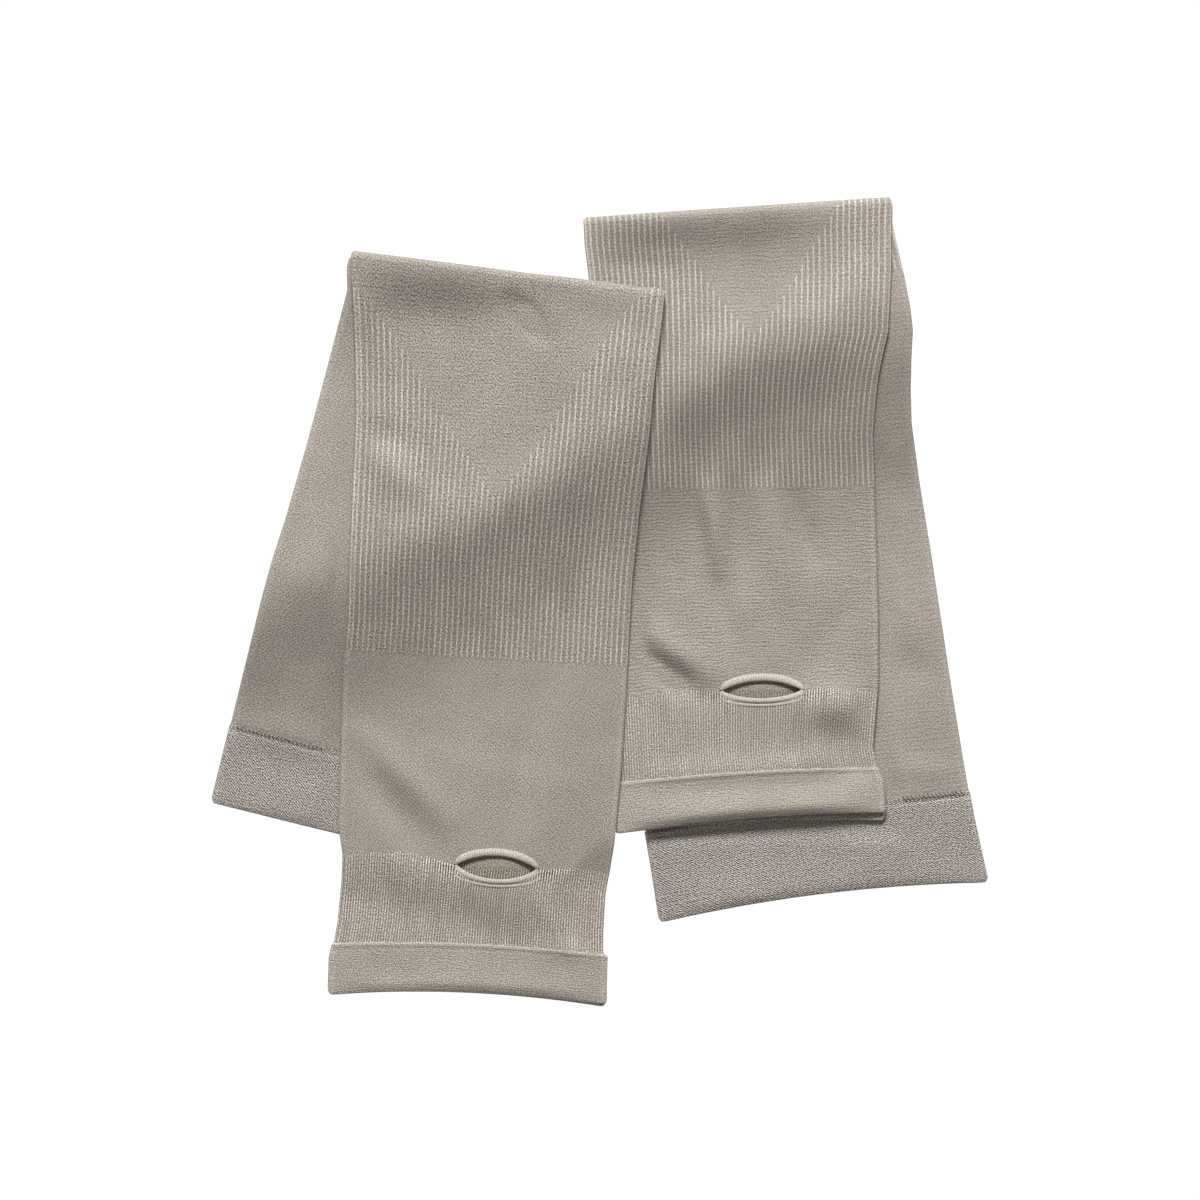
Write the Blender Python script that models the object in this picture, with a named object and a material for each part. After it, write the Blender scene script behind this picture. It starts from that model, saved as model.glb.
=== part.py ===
"""A pair of seamless knitted arm sleeves, each folded in half and laid flat, the left one over the right one.

A sleeve is a flattened tube. Its hand half, with the thumb hole up, lies on its arm half, and the tube
turns over at the fold. Each layer is a closed knitted wall that follows what lies under it, down to the
surface at z = 0. The frame is seen from above: x to the right, y away from the hand end, z up. The lengths
below are in millimetres, and a mesh point is in metres. Left and right are the places of the two sleeves.
"""

import math
from collections import namedtuple

import bmesh
import bpy
import numpy as np

MM = 0.001

# ---- Cloth ----
WALL = 1.0  # the knitted wall
BAND_WALL = 1.3  # the doubled wall of a hem or an arm band
SLIT = 0.4  # the air inside a flattened tube
REST = 0.5  # between a layer and the one that it lies on
SEAM = 0.3  # between two pieces that are knitted on to each other
TUBE = 2 * WALL + SLIT
BAND = 2 * BAND_WALL + SLIT
LAYER = TUBE + REST
BAND_EXTRA = BAND - TUBE
TURN_IN = REST / 2  # the inner radius of the fold
TURN_OUT = TURN_IN + TUBE
TURN_STEPS = 3

# ---- Drape ----
MARGIN = 3.0  # a layer keeps its full height this far outside the one under it
RAMP = 20.0  # then it comes down over this length
BAND_MARGIN = 5.0
BAND_RAMP = 10.0
UNCOVER = 12.0  # creases and ribs grow from nothing over this length, outside what lies on them
FOLD_SKEW = 25.0  # the rows turn from the fold's slant to the half's own over this length
END_CURVE = 45.0  # and take the open end's curve over this length
PILLOW = 0.9  # how far a free top wall stands up
PILLOW_POWER = 4  # how squarely the pillow meets the edges
CREASE_TIP = 0.15  # a crease starts and ends at this part of a half wave
CORNER = 1.5  # the rounding of an open end's corners
CORNER_SIDE = 0.9  # where it starts

# ---- Ribs ----
RIBS = 51  # wide ribs across a flattened forearm
RIB_HEIGHT = 0.35
CUFF_RIBS = 82  # fine ribs across a flattened cuff
CUFF_RIB_HEIGHT = 0.2
RIB_START = 6.0  # the length over which a rib rises from the plain knit
V_SLOPE = 1.5  # the plain V's edges: down the sleeve for each step across

# ---- Thumb hole ----
LIP = 2.5  # width of the rolled edge along the hole
LIP_END = 1.0  # and past its corners
LIP_HEIGHT = 1.7
LIP_DEPTH = 1.3  # its underside, over the underside of the tube
LIP_AROUND = 28
LIP_SIDES = 6
HOLE_ROUND = 0.6  # the power of a half circle's rule that gives the cut edge
HOLE_COLUMNS = 11

# ---- Mesh ----
LONG_ROW = 17.0  # the longest row of a hand half's pieces
LOW_ROW = 22.0  # of an upper arm on the table
STEP_ROW = 11.0  # of one that climbs on the other sleeve
CLIMB_ROW = 13.0  # of a forearm that does
BAND_ROW = 9.0
WALL_SHARE = 0.4  # how much of the way round a ring one flat wall takes
SAME_DEPTH = 1e-6

Section = namedtuple("Section", "down left right")
Crease = namedtuple("Crease", "x y x_end y_end width height")
Hole = namedtuple("Hole", "down across half_length above below")
Zones = namedtuple("Zones", "v_down v_across rib_end hem")
Ring = namedtuple("Ring", "rib side out depth around on_top")
Row = namedtuple("Row", "down bend", defaults=(0.0,))


def smooth(x):
    """0 up to x = 0, 1 from x = 1, and a soft step between."""
    x = np.clip(x, 0.0, 1.0)
    return x * x * (3 - 2 * x)


class Half:
    """One half of a folded sleeve. Down runs from the fold's edge to the open end, across runs to the right."""

    def __init__(self, fold, fold_heading, heading, sections, end, band, bow, slant, under_end, creases):
        self.fold = np.array(fold)
        angle = math.radians(heading)
        self.down_axis = np.array([math.sin(angle), -math.cos(angle)])
        self.across_axis = np.array([math.cos(angle), math.sin(angle)])
        self.tilt = math.tan(math.radians(heading - fold_heading))
        self.sections = np.array(sections)
        self.end = end
        self.band = band
        self.bow = bow
        self.slant = slant
        self.under_end = under_end
        self.creases = creases

    def edges(self, down):
        stations = self.sections[:, 0]
        return (
            np.interp(down, stations, self.sections[:, 1]),
            np.interp(down, stations, self.sections[:, 2]),
        )

    def across(self, down, side, out):
        """Where a point of a ring lies across: side is -1 at the left edge's middle and 1 at the right one's."""
        left, right = self.edges(down)
        radius = TUBE / 2
        return left + radius + (right - left - 2 * radius) * (side + 1) / 2 + out

    def place(self, down, across, side):
        """World x and y. The rows lie along the fold at one end, and along the open end's curve at the other."""
        slanted = down + self.tilt * across * (1 - smooth((down - TURN_OUT) / FOLD_SKEW))
        near_end = smooth((down - self.end + END_CURVE) / END_CURVE)
        slanted = slanted + (self.bow * (1 - side**2) + self.slant * side) * near_end
        spot = self.fold + slanted[:, None] * self.down_axis + across[:, None] * self.across_axis
        return spot[:, 0], spot[:, 1]

    def inside(self, x, y):
        """How far inside this half's outline a point lies, with the fold taken as open."""
        offset = np.stack([x - self.fold[0], y - self.fold[1]], axis=-1)
        down = offset @ self.down_axis
        across = offset @ self.across_axis
        left, right = self.edges(down)
        return np.minimum(np.minimum(across - left, right - across), self.end - down), down

    def rise(self, x, y):
        """How much this half lifts what lies on it."""
        inside, down = self.inside(x, y)
        thick = LAYER + BAND_EXTRA * smooth((down - self.band + BAND_RAMP + BAND_MARGIN) / BAND_RAMP)
        return thick * smooth((inside + MARGIN + RAMP) / RAMP)

    def free_of(self, x, y):
        """1 where this half doesn't cover a point, and 0 where it does."""
        inside, _ = self.inside(x, y)
        return 1 - smooth((inside + MARGIN + UNCOVER) / UNCOVER)


def crease_lift(creases, x, y, side):
    """How far the top wall stands above a flat one: a pillow, with soft ridges and troughs."""
    inner = 1 - side**PILLOW_POWER
    lift = PILLOW * inner
    for crease in creases:
        start = np.array([crease.x, crease.y])
        run = np.array([crease.x_end, crease.y_end]) - start
        offset = np.stack([x, y], axis=-1) - start
        along = np.clip(offset @ run / (run @ run), 0.0, 1.0)
        away = np.linalg.norm(offset - along[:, None] * run, axis=1)
        fade = np.sin(np.pi * (CREASE_TIP + (1 - 2 * CREASE_TIP) * along))
        lift = lift + crease.height * fade * inner * np.exp(-0.5 * (away / crease.width) ** 2)
    return np.maximum(lift, 0.0)


class Sleeve:
    """A folded tube: its hand half on its arm half, over the halves in below."""

    def __init__(self, hand, arm, hole, zones, below):
        self.hand = hand
        self.arm = arm
        self.hole = hole
        self.zones = zones
        self.below = below
        self.above = []

    def floor(self, x, y):
        """The height of what the whole sleeve lies on."""
        return sum((half.rise(x, y) for half in self.below), np.zeros_like(x))

    def free(self, half, x, y):
        """1 where nothing lies on this half."""
        covering = list(self.above) + ([self.hand] if half is self.arm else [])
        clear = np.ones_like(x)
        for cover in covering:
            clear = clear * cover.free_of(x, y)
        return clear

    def rib(self, ring, down, across):
        """The ribs' height at each point, which is none inside the plain V."""
        edge = self.zones.v_down - V_SLOPE * np.abs(across - self.zones.v_across)
        return ring.rib * smooth((down - edge) / RIB_START)

    def hole_bend(self, across, bend):
        """How far the rows of the top wall bend round the thumb hole: up for -1, down for 1."""
        hole = self.hole
        reach = (across - hole.across) / (hole.half_length + LIP_END + SEAM)
        arch = np.maximum(1 - reach**2, 0.0) ** HOLE_ROUND
        height = hole.above if bend < 0 else hole.below
        return bend * (height + LIP + SEAM) * arch

    def hand_ring(self, ring, row, thick):
        half = self.hand
        down = np.full(len(ring.side), row.down)
        across = half.across(down, ring.side, ring.out)
        down = down + self.hole_bend(across, row.bend) * ring.on_top + end_shift(half, row.down, ring)
        x, y = half.place(down, across, ring.side)
        free = self.free(half, x, y)
        outside = ring.on_top * (ring.depth > thick - SAME_DEPTH)
        lift = crease_lift(half.creases, x, y, ring.side) * outside
        depth = ring.depth + free * (lift + self.rib(ring, down, across))
        z = self.floor(x, y) + self.arm.rise(x, y) + depth
        return np.stack([x, y, z], axis=1)

    def turn_ring(self, ring, angle):
        """The tube part way over its fold: 0 is the hand half's side, and a half turn the arm half's."""
        half = self.hand
        down = np.full(len(ring.side), TURN_OUT)
        across = half.across(down, ring.side, ring.out)
        x, y = half.place(down, across, ring.side)
        free = self.free(half, x, y)
        outside = ring.on_top * (ring.depth > TUBE - SAME_DEPTH)
        # The pillow and the ribs flatten out as the wall goes under.
        upward = math.cos(angle / 2) ** 2
        lift = crease_lift(half.creases, x, y, ring.side) * outside * upward
        ribbed = self.rib(ring, TURN_OUT - TURN_OUT * angle, across) * upward
        radius = TURN_IN + ring.depth + free * (lift + ribbed)
        fold_line = half.across_axis + half.tilt * half.down_axis
        normal = np.array([-fold_line[1], fold_line[0]]) / np.linalg.norm(fold_line)
        x = x + normal[0] * radius * math.sin(angle)
        y = y + normal[1] * radius * math.sin(angle)
        z = self.floor(x, y) + TURN_OUT + radius * math.cos(angle)
        return np.stack([x, y, z], axis=1)

    def arm_ring(self, ring, row, thick):
        """Here the tube is upside down, so the ring's own top is the wall that faces down."""
        half = self.arm
        down = np.full(len(ring.side), row.down)
        across = half.across(down, ring.side, ring.out)
        down = down + end_shift(half, row.down, ring)
        x, y = half.place(down, across, ring.side)
        free = self.free(half, x, y)
        outside = (1 - ring.on_top) * (ring.depth < SAME_DEPTH)
        lift = crease_lift(half.creases, x, y, ring.side) * outside
        z = self.floor(x, y) + thick - ring.depth + free * lift
        return np.stack([x, y, z], axis=1)


def end_shift(half, down, ring):
    """An open end's rounded corners, and how much further its lower wall reaches."""
    at_end = float(down > half.end - SAME_DEPTH)
    corner = -CORNER * smooth((np.abs(ring.side) - CORNER_SIDE) / (1 - CORNER_SIDE))
    return at_end * (corner + half.under_end * (1 - ring.on_top))


# ---- The tube's rings ----


def tube_ring(top_sides, under_sides, radius, thick, rib_height=0.0):
    """A flattened ring: top wall, right edge, lower wall, left edge. Every second point of a ribbed top is a crest."""
    middle = thick / 2
    edge = (WALL_SHARE + 0.5) / 2
    rows = []
    for i, side in enumerate(top_sides):
        around = WALL_SHARE * (1 + side) / 2
        rows.append((rib_height * (i % 2), side, 0.0, middle + radius, around, 1.0))
    rows.append((0.0, 1.0, radius, middle, edge, 0.5))
    for side in reversed(under_sides):
        around = 0.5 + WALL_SHARE * (1 - side) / 2
        rows.append((0.0, side, 0.0, middle - radius, around, 0.0))
    rows.append((0.0, -1.0, -radius, middle, 0.5 + edge, 0.5))
    return Ring(*np.array(rows).T)


def zip_loops(outer, inner, outer_start, inner_start, flip):
    """Triangles between two rings with unlike numbers of points, in the order of their places round the tube."""
    faces = []
    i = j = 0
    while i < len(outer) or j < len(inner):
        next_outer = outer[i + 1] if i + 1 < len(outer) else 1.0 + (i + 1 - len(outer))
        next_inner = inner[j + 1] if j + 1 < len(inner) else 1.0 + (j + 1 - len(inner))
        a = outer_start + i % len(outer)
        b = inner_start + j % len(inner)
        if next_outer <= next_inner:
            face = (a, outer_start + (i + 1) % len(outer), b)
            i += 1
        else:
            face = (a, inner_start + (j + 1) % len(inner), b)
            j += 1
        faces.append(face[::-1] if flip else face)
    return faces


def wall_mesh(outer_rings, inner_rings, outer_around, inner_around):
    """Points and faces of a tube's wall: the outside, the inside, and the two ends."""
    rows = len(outer_rings)
    n_out = len(outer_around)
    n_in = len(inner_around)
    points = np.concatenate(outer_rings + inner_rings)
    inner_start = rows * n_out
    faces = []
    for row in range(rows - 1):
        for i in range(n_out):
            a = row * n_out + i
            b = row * n_out + (i + 1) % n_out
            faces.append((a, b, b + n_out, a + n_out))
        for i in range(n_in):
            a = inner_start + row * n_in + i
            b = inner_start + row * n_in + (i + 1) % n_in
            faces.append((a + n_in, b + n_in, b, a))
    last_out = (rows - 1) * n_out
    last_in = inner_start + (rows - 1) * n_in
    faces += zip_loops(outer_around, inner_around, 0, inner_start, True)
    faces += zip_loops(outer_around, inner_around, last_out, last_in, False)
    return points, faces


# ---- Objects ----


def material(name, colour, roughness):
    made = bpy.data.materials.new(name)
    made.use_nodes = True
    shader = made.node_tree.nodes["Principled BSDF"]
    shader.inputs["Base Color"].default_value = (*colour, 1.0)
    shader.inputs["Roughness"].default_value = roughness
    shader.inputs["Metallic"].default_value = 0.0
    return made


def add_piece(name, points, faces, parent, collection, look):
    """A piece whose points are given in the pair's frame, placed from its sleeve's empty."""
    mesh = bpy.data.meshes.new(name)
    mesh.from_pydata((points * MM - np.array(parent.location)).tolist(), [], faces)
    shape = bmesh.new()
    shape.from_mesh(mesh)
    bmesh.ops.recalc_face_normals(shape, faces=shape.faces)
    shape.to_mesh(mesh)
    shape.free()
    mesh.shade_smooth()
    mesh.set_sharp_from_angle(angle=math.radians(50))
    mesh.materials.append(look)
    piece = bpy.data.objects.new(name, mesh)
    piece.parent = parent
    collection.objects.link(piece)
    return piece


def ribbed(count):
    """The columns of a ribbed wall: a valley at each end, and a crest between each two valleys."""
    return list(np.linspace(-1.0, 1.0, 2 * count + 1))


def spread(start, stop, longest):
    """Even steps from start to stop, none over the longest."""
    return list(np.linspace(start, stop, max(2, math.ceil(abs(stop - start) / longest) + 1)))


def joined(*runs):
    """Runs of sides one after another, without the repeated ends."""
    sides = [runs[0][0]]
    for run in runs:
        sides += list(run[1:])
    return sides


def hand_piece(sleeve, rows, outer, inner, thick):
    outer_rings = [sleeve.hand_ring(outer, row, thick) for row in rows]
    inner_rings = [sleeve.hand_ring(inner, row, thick) for row in rows]
    return wall_mesh(outer_rings, inner_rings, outer.around, inner.around)


def arm_piece(sleeve, rows, outer, inner, thick):
    outer_rings = [sleeve.arm_ring(outer, row, thick) for row in rows]
    inner_rings = [sleeve.arm_ring(inner, row, thick) for row in rows]
    return wall_mesh(outer_rings, inner_rings, outer.around, inner.around)


def forearm(sleeve, sides):
    """The ribbed stretch, from the plain wrist up to the fold and over it."""
    outer = tube_ring(ribbed(RIBS), sides, TUBE / 2, TUBE, RIB_HEIGHT)
    inner = tube_ring(sides, sides, SLIT / 2, TUBE)
    longest = CLIMB_ROW if sleeve.below else LONG_ROW
    rows = [Row(down) for down in spread(sleeve.zones.rib_end - SEAM / 2, TURN_OUT, longest)]
    turns = [math.pi * step / TURN_STEPS for step in range(1, TURN_STEPS + 1)]
    outer_rings = [sleeve.hand_ring(outer, row, TUBE) for row in rows]
    inner_rings = [sleeve.hand_ring(inner, row, TUBE) for row in rows]
    outer_rings += [sleeve.turn_ring(outer, angle) for angle in turns]
    inner_rings += [sleeve.turn_ring(inner, angle) for angle in turns]
    return wall_mesh(outer_rings, inner_rings, outer.around, inner.around)


def hole_sides(sleeve, sides):
    """The columns of a wall with half the thumb hole: the plain ones, with closer ones at the hole."""
    left, right = sleeve.hand.edges(sleeve.hole.down)
    half_width = (right - left - TUBE) / 2
    middle = (sleeve.hole.across - (left + right) / 2) / half_width
    reach = (sleeve.hole.half_length + LIP_END + SEAM) / half_width
    near = list(middle + reach * np.sin(np.linspace(-math.pi / 2, math.pi / 2, HOLE_COLUMNS)))
    far = [side for side in sides if abs(side - middle) > reach * 1.05]
    return sorted(near + far)


def wrist(sleeve, sides):
    """The plain stretch, from the ribs to the thumb hole's middle."""
    top = hole_sides(sleeve, sides)
    end = sleeve.hole.down - SEAM / 2
    bent = [Row(end - 11.0, -0.35), Row(end - 4.0, -0.8), Row(end, -1.0)]
    rows = [Row(down) for down in spread(sleeve.zones.rib_end + SEAM / 2, end - 22.0, LONG_ROW)]
    rows += bent
    outer = tube_ring(top, sides, TUBE / 2, TUBE)
    inner = tube_ring(top, sides, SLIT / 2, TUBE)
    return hand_piece(sleeve, rows, outer, inner, TUBE)


def palm(sleeve, sides):
    """The fine-ribbed cuff, from the thumb hole's middle to the hem."""
    top = hole_sides(sleeve, sides)
    start = sleeve.hole.down + SEAM / 2
    end = sleeve.zones.hem - SEAM / 2
    rows = [Row(start, 1.0), Row(start + 4.0, 0.8), Row(start + 12.0, 0.3), Row(end)]
    outer = tube_ring(ribbed(CUFF_RIBS), sides, TUBE / 2, TUBE, CUFF_RIB_HEIGHT)
    inner = tube_ring(top, sides, SLIT / 2, TUBE)
    return hand_piece(sleeve, rows, outer, inner, TUBE)


def hem(sleeve, sides):
    start = sleeve.zones.hem + SEAM / 2
    rows = [Row(down) for down in spread(start, sleeve.hand.end, BAND_ROW)]
    outer = tube_ring(sides, sides, BAND / 2, BAND)
    inner = tube_ring(sides, sides, SLIT / 2, BAND)
    return hand_piece(sleeve, rows, outer, inner, BAND)


def upper_arm(sleeve, sides):
    longest = STEP_ROW if sleeve.below else LOW_ROW
    rows = [Row(down) for down in spread(TURN_OUT + SEAM, sleeve.arm.band - SEAM / 2, longest)]
    outer = tube_ring(sides, sides, TUBE / 2, TUBE)
    inner = tube_ring(sides, sides, SLIT / 2, TUBE)
    return arm_piece(sleeve, rows, outer, inner, TUBE)


def arm_band(sleeve, sides):
    start = sleeve.arm.band + SEAM / 2
    rows = [Row(down) for down in spread(start, sleeve.arm.end, LONG_ROW)]
    outer = tube_ring(sides, sides, BAND / 2, BAND)
    inner = tube_ring(sides, sides, SLIT / 2, BAND)
    return arm_piece(sleeve, rows, outer, inner, BAND)


def thumb_edge(sleeve):
    """The rolled edge round the thumb hole: an oval section between a pointed lens and a round one."""
    hole = sleeve.hole
    half = sleeve.hand
    rings = []
    for step in range(LIP_AROUND):
        turn = 2 * math.pi * step / LIP_AROUND
        up = math.sin(turn) > 0
        height = hole.above if up else hole.below
        lens = math.copysign(abs(math.sin(turn)) ** 2, math.sin(turn))
        oval = math.copysign(abs(math.sin(turn)) ** (2 * HOLE_ROUND), math.sin(turn))
        inner = np.array([hole.half_length * math.cos(turn), height * lens])
        outer = np.array([(hole.half_length + LIP_END) * math.cos(turn), (height + LIP) * oval])
        ring = []
        for corner in range(LIP_SIDES):
            angle = 2 * math.pi * corner / LIP_SIDES
            across, up_sleeve = inner + (outer - inner) * (0.5 + 0.5 * math.cos(angle))
            depth = LIP_DEPTH + LIP_HEIGHT * (0.5 + 0.5 * math.sin(angle))
            x, y = half.place(
                np.array([hole.down - up_sleeve]),
                np.array([hole.across + across]),
                0.0,
            )
            z = sleeve.floor(x, y) + sleeve.arm.rise(x, y) + depth
            ring.append((x[0], y[0], z[0]))
        rings.append(ring)
    points = np.array(rings).reshape(-1, 3)
    faces = []
    for i in range(LIP_AROUND):
        for j in range(LIP_SIDES):
            a = i * LIP_SIDES + j
            b = i * LIP_SIDES + (j + 1) % LIP_SIDES
            c = (i + 1) % LIP_AROUND * LIP_SIDES + (j + 1) % LIP_SIDES
            d = (i + 1) % LIP_AROUND * LIP_SIDES + j
            faces.append((a, b, c, d))
    return points, faces


# ---- The right sleeve, which lies below ----

right_hand = Half(
    fold=(48.2, 137.0),
    fold_heading=3.87,
    heading=0.79,
    sections=[
        Section(0, -53.9, 53.9),
        Section(20, -52.6, 53.0),
        Section(42, -51.6, 51.8),
        Section(60, -50.4, 48.0),
        Section(85, -49.6, 45.9),
        Section(125, -48.6, 46.8),
        Section(165, -47.6, 46.7),
        Section(190, -46.4, 44.6),
        Section(203, -46.0, 47.6),
        Section(220, -46.0, 48.4),
    ],
    end=214.4,
    band=197.5,
    bow=-1.9,
    slant=-3.0,
    under_end=2.0,
    creases=[
        Crease(31.0, 104.0, 87.0, 104.0, 12.0, 1.0),
        Crease(21.0, 59.0, 97.0, 82.0, 12.0, -0.8),
        Crease(14.0, -2.0, 40.0, -26.0, 5.0, 0.9),
        Crease(10.0, -14.0, 35.0, -31.0, 5.0, -0.7),
        Crease(96.0, -17.0, 73.0, -32.0, 6.0, 0.9),
        Crease(70.0, -40.0, 97.0, -52.0, 6.0, -0.7),
    ],
)
right_arm = Half(
    fold=(48.2, 137.0),
    fold_heading=3.87,
    heading=7.2,
    sections=[
        Section(0, -53.9, 53.9),
        Section(14, -54.2, 52.9),
        Section(42, -55.0, 55.3),
        Section(80, -56.0, 50.8),
        Section(130, -57.2, 51.8),
        Section(190, -58.6, 53.6),
        Section(244, -58.4, 56.8),
    ],
    end=243.8,
    band=211.5,
    bow=-3.0,
    slant=0.2,
    under_end=0.0,
    creases=[
        Crease(102.0, 97.0, 109.0, 94.0, 6.0, 0.7),
        Crease(99.0, 52.0, 111.0, 56.0, 7.0, 0.6),
        Crease(101.0, -62.0, 128.0, -60.0, 6.0, 0.5),
    ],
)
right_sleeve = Sleeve(
    hand=right_hand,
    arm=right_arm,
    hole=Hole(down=168.1, across=5.9, half_length=13.6, above=3.1, below=2.8),
    zones=Zones(v_down=41.9, v_across=3.5, rib_end=98.4, hem=197.5),
    below=[],
)

# ---- The left sleeve, which lies on it ----

left_hand = Half(
    fold=(-31.9, 115.0),
    fold_heading=-7.3,
    heading=-3.22,
    sections=[
        Section(0, -55.0, 55.0),
        Section(20, -52.6, 54.1),
        Section(52, -50.1, 52.6),
        Section(88, -49.6, 50.1),
        Section(125, -48.9, 49.3),
        Section(172, -48.6, 49.3),
        Section(206, -46.1, 47.2),
        Section(222, -46.2, 46.2),
        Section(240, -48.4, 47.8),
        Section(260, -48.4, 48.4),
    ],
    end=254.2,
    band=236.3,
    bow=-2.7,
    slant=-1.0,
    under_end=0.6,
    creases=[
        Crease(-87.0, 14.0, 14.0, 59.0, 14.0, 1.0),
        Crease(-87.0, -10.0, 10.0, 36.0, 12.0, -0.6),
        Crease(-82.0, 104.0, -45.0, 98.0, 6.0, -0.6),
        Crease(-89.0, -35.0, -56.0, -73.0, 7.0, 0.8),
        Crease(-87.0, -51.0, -56.0, -88.0, 6.0, -0.6),
        Crease(-1.0, -35.0, -18.0, -89.0, 6.0, -0.5),
    ],
)
left_arm = Half(
    fold=(-31.9, 115.0),
    fold_heading=-7.3,
    heading=-13.86,
    sections=[
        Section(0, -54.9, 54.9),
        Section(18, -52.9, 54.9),
        Section(60, -53.2, 55.0),
        Section(118, -55.7, 55.3),
        Section(205, -55.9, 55.7),
    ],
    end=204.6,
    band=176.3,
    bow=0.0,
    slant=0.0,
    under_end=0.0,
    creases=[
        Crease(-118.0, 16.0, -94.0, 34.0, 8.0, 0.6),
        Crease(-126.0, -28.0, -92.0, -38.0, 7.0, 0.5),
    ],
)
left_sleeve = Sleeve(
    hand=left_hand,
    arm=left_arm,
    hole=Hole(down=207.2, across=7.8, half_length=13.7, above=3.7, below=4.3),
    zones=Zones(v_down=80.7, v_across=0.0, rib_end=135.6, hem=236.3),
    below=[right_arm, right_hand],
)
right_sleeve.above = [left_hand, left_arm]

# ---- The columns of each half's plain walls, closer where the wall comes down over an edge ----

LEFT_HAND_SIDES = joined(spread(-1.0, 0.15, 0.24), spread(0.15, 1.0, 0.09))
LEFT_ARM_SIDES = joined(spread(-1.0, 0.1, 0.28), spread(0.1, 1.0, 0.09))
RIGHT_HAND_SIDES = joined(spread(-1.0, -0.55, 0.09), spread(-0.55, 1.0, 0.24))
RIGHT_ARM_SIDES = spread(-1.0, 1.0, 0.26)

PIECES = (
    ("left", left_sleeve, LEFT_HAND_SIDES, LEFT_ARM_SIDES),
    ("right", right_sleeve, RIGHT_HAND_SIDES, RIGHT_ARM_SIDES),
)

# ---- Build ----

for old in list(bpy.data.objects):
    bpy.data.objects.remove(old)

pair = bpy.data.collections.new("arm_sleeves")
bpy.context.scene.collection.children.link(pair)

LOOKS = {
    "forearm": ((0.36, 0.325, 0.28), 0.9),
    "wrist": ((0.37, 0.335, 0.29), 0.88),
    "palm": ((0.36, 0.325, 0.28), 0.9),
    "hem": ((0.39, 0.355, 0.31), 0.88),
    "thumb_edge": ((0.42, 0.385, 0.34), 0.85),
    "upper_arm": ((0.37, 0.335, 0.29), 0.88),
    "arm_band": ((0.35, 0.315, 0.28), 0.9),
}

for place, sleeve, hand_sides, arm_sides in PIECES:
    origin = bpy.data.objects.new(place + "_sleeve", None)
    origin.empty_display_size = 0.02
    origin.location = (*(sleeve.hand.fold * MM), 0.0)
    pair.objects.link(origin)
    shapes = {
        "forearm": forearm(sleeve, hand_sides),
        "wrist": wrist(sleeve, hand_sides),
        "palm": palm(sleeve, hand_sides),
        "hem": hem(sleeve, hand_sides),
        "thumb_edge": thumb_edge(sleeve),
        "upper_arm": upper_arm(sleeve, arm_sides),
        "arm_band": arm_band(sleeve, arm_sides),
    }
    for piece_name, (points, faces) in shapes.items():
        name = place + "_" + piece_name
        look = material(name, *LOOKS[piece_name])
        add_piece(name, points, faces, origin, pair, look)
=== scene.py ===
"""The looks of a pair of seamless knitted arm sleeves, each folded in half and laid flat on a pale table.

Every piece of cloth is a thin closed shell on its solid's own form: a flattened tube that turns over at
the fold, ribbed, creased and pillowed. Lengths are in millimetres until a piece's mesh is made. A half of a
sleeve is measured down from its fold and across to the right. Left and right are the two sleeves' places.
"""

import math
from collections import namedtuple

import bmesh
import bpy
import numpy as np
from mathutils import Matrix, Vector


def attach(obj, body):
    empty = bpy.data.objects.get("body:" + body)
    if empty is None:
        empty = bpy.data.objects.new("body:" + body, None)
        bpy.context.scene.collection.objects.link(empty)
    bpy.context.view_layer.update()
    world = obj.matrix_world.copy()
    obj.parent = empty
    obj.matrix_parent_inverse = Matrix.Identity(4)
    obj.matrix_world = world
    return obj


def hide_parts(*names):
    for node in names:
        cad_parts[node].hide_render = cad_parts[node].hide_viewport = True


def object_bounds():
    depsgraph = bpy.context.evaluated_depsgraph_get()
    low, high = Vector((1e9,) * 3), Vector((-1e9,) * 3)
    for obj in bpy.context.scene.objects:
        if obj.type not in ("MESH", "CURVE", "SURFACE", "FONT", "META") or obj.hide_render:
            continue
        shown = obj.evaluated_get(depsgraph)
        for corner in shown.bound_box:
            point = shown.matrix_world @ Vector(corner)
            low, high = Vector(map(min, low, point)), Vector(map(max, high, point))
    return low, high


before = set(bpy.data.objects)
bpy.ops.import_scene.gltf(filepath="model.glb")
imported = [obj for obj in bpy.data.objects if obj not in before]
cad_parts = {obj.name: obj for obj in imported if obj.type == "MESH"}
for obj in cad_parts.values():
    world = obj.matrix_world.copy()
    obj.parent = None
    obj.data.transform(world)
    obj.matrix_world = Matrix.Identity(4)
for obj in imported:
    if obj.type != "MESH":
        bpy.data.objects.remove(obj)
cad_low, cad_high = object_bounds()

MM = 0.001

# ---- Cloth, as in the solids ----
WALL = 1.0
BAND_WALL = 1.3
SLIT = 0.4
REST = 0.5
TUBE = 2 * WALL + SLIT
BAND = 2 * BAND_WALL + SLIT
LAYER = TUBE + REST
BAND_EXTRA = BAND - TUBE
TURN_IN = REST / 2
TURN_OUT = TURN_IN + TUBE

# ---- Drape, as in the solids ----
MARGIN = 3.0
RAMP = 20.0
BAND_MARGIN = 5.0
BAND_RAMP = 10.0
UNCOVER = 6.0
FOLD_SKEW = 25.0
END_CURVE = 45.0
PILLOW_POWER = 4
CREASE_TIP = 0.15
CORNER = 2.2  # the radius of an open end's corners
CORNER_REACH = 3.0

# ---- Softness of the wall that shows, a little fuller than the solids' ----
PILLOW = 1.7
CREASE_RELIEF = 2.2
END_LIFT = 0.45  # what is left of that softness at an open end
END_FLAT = 3.0  # how far from the end it starts to go

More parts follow.
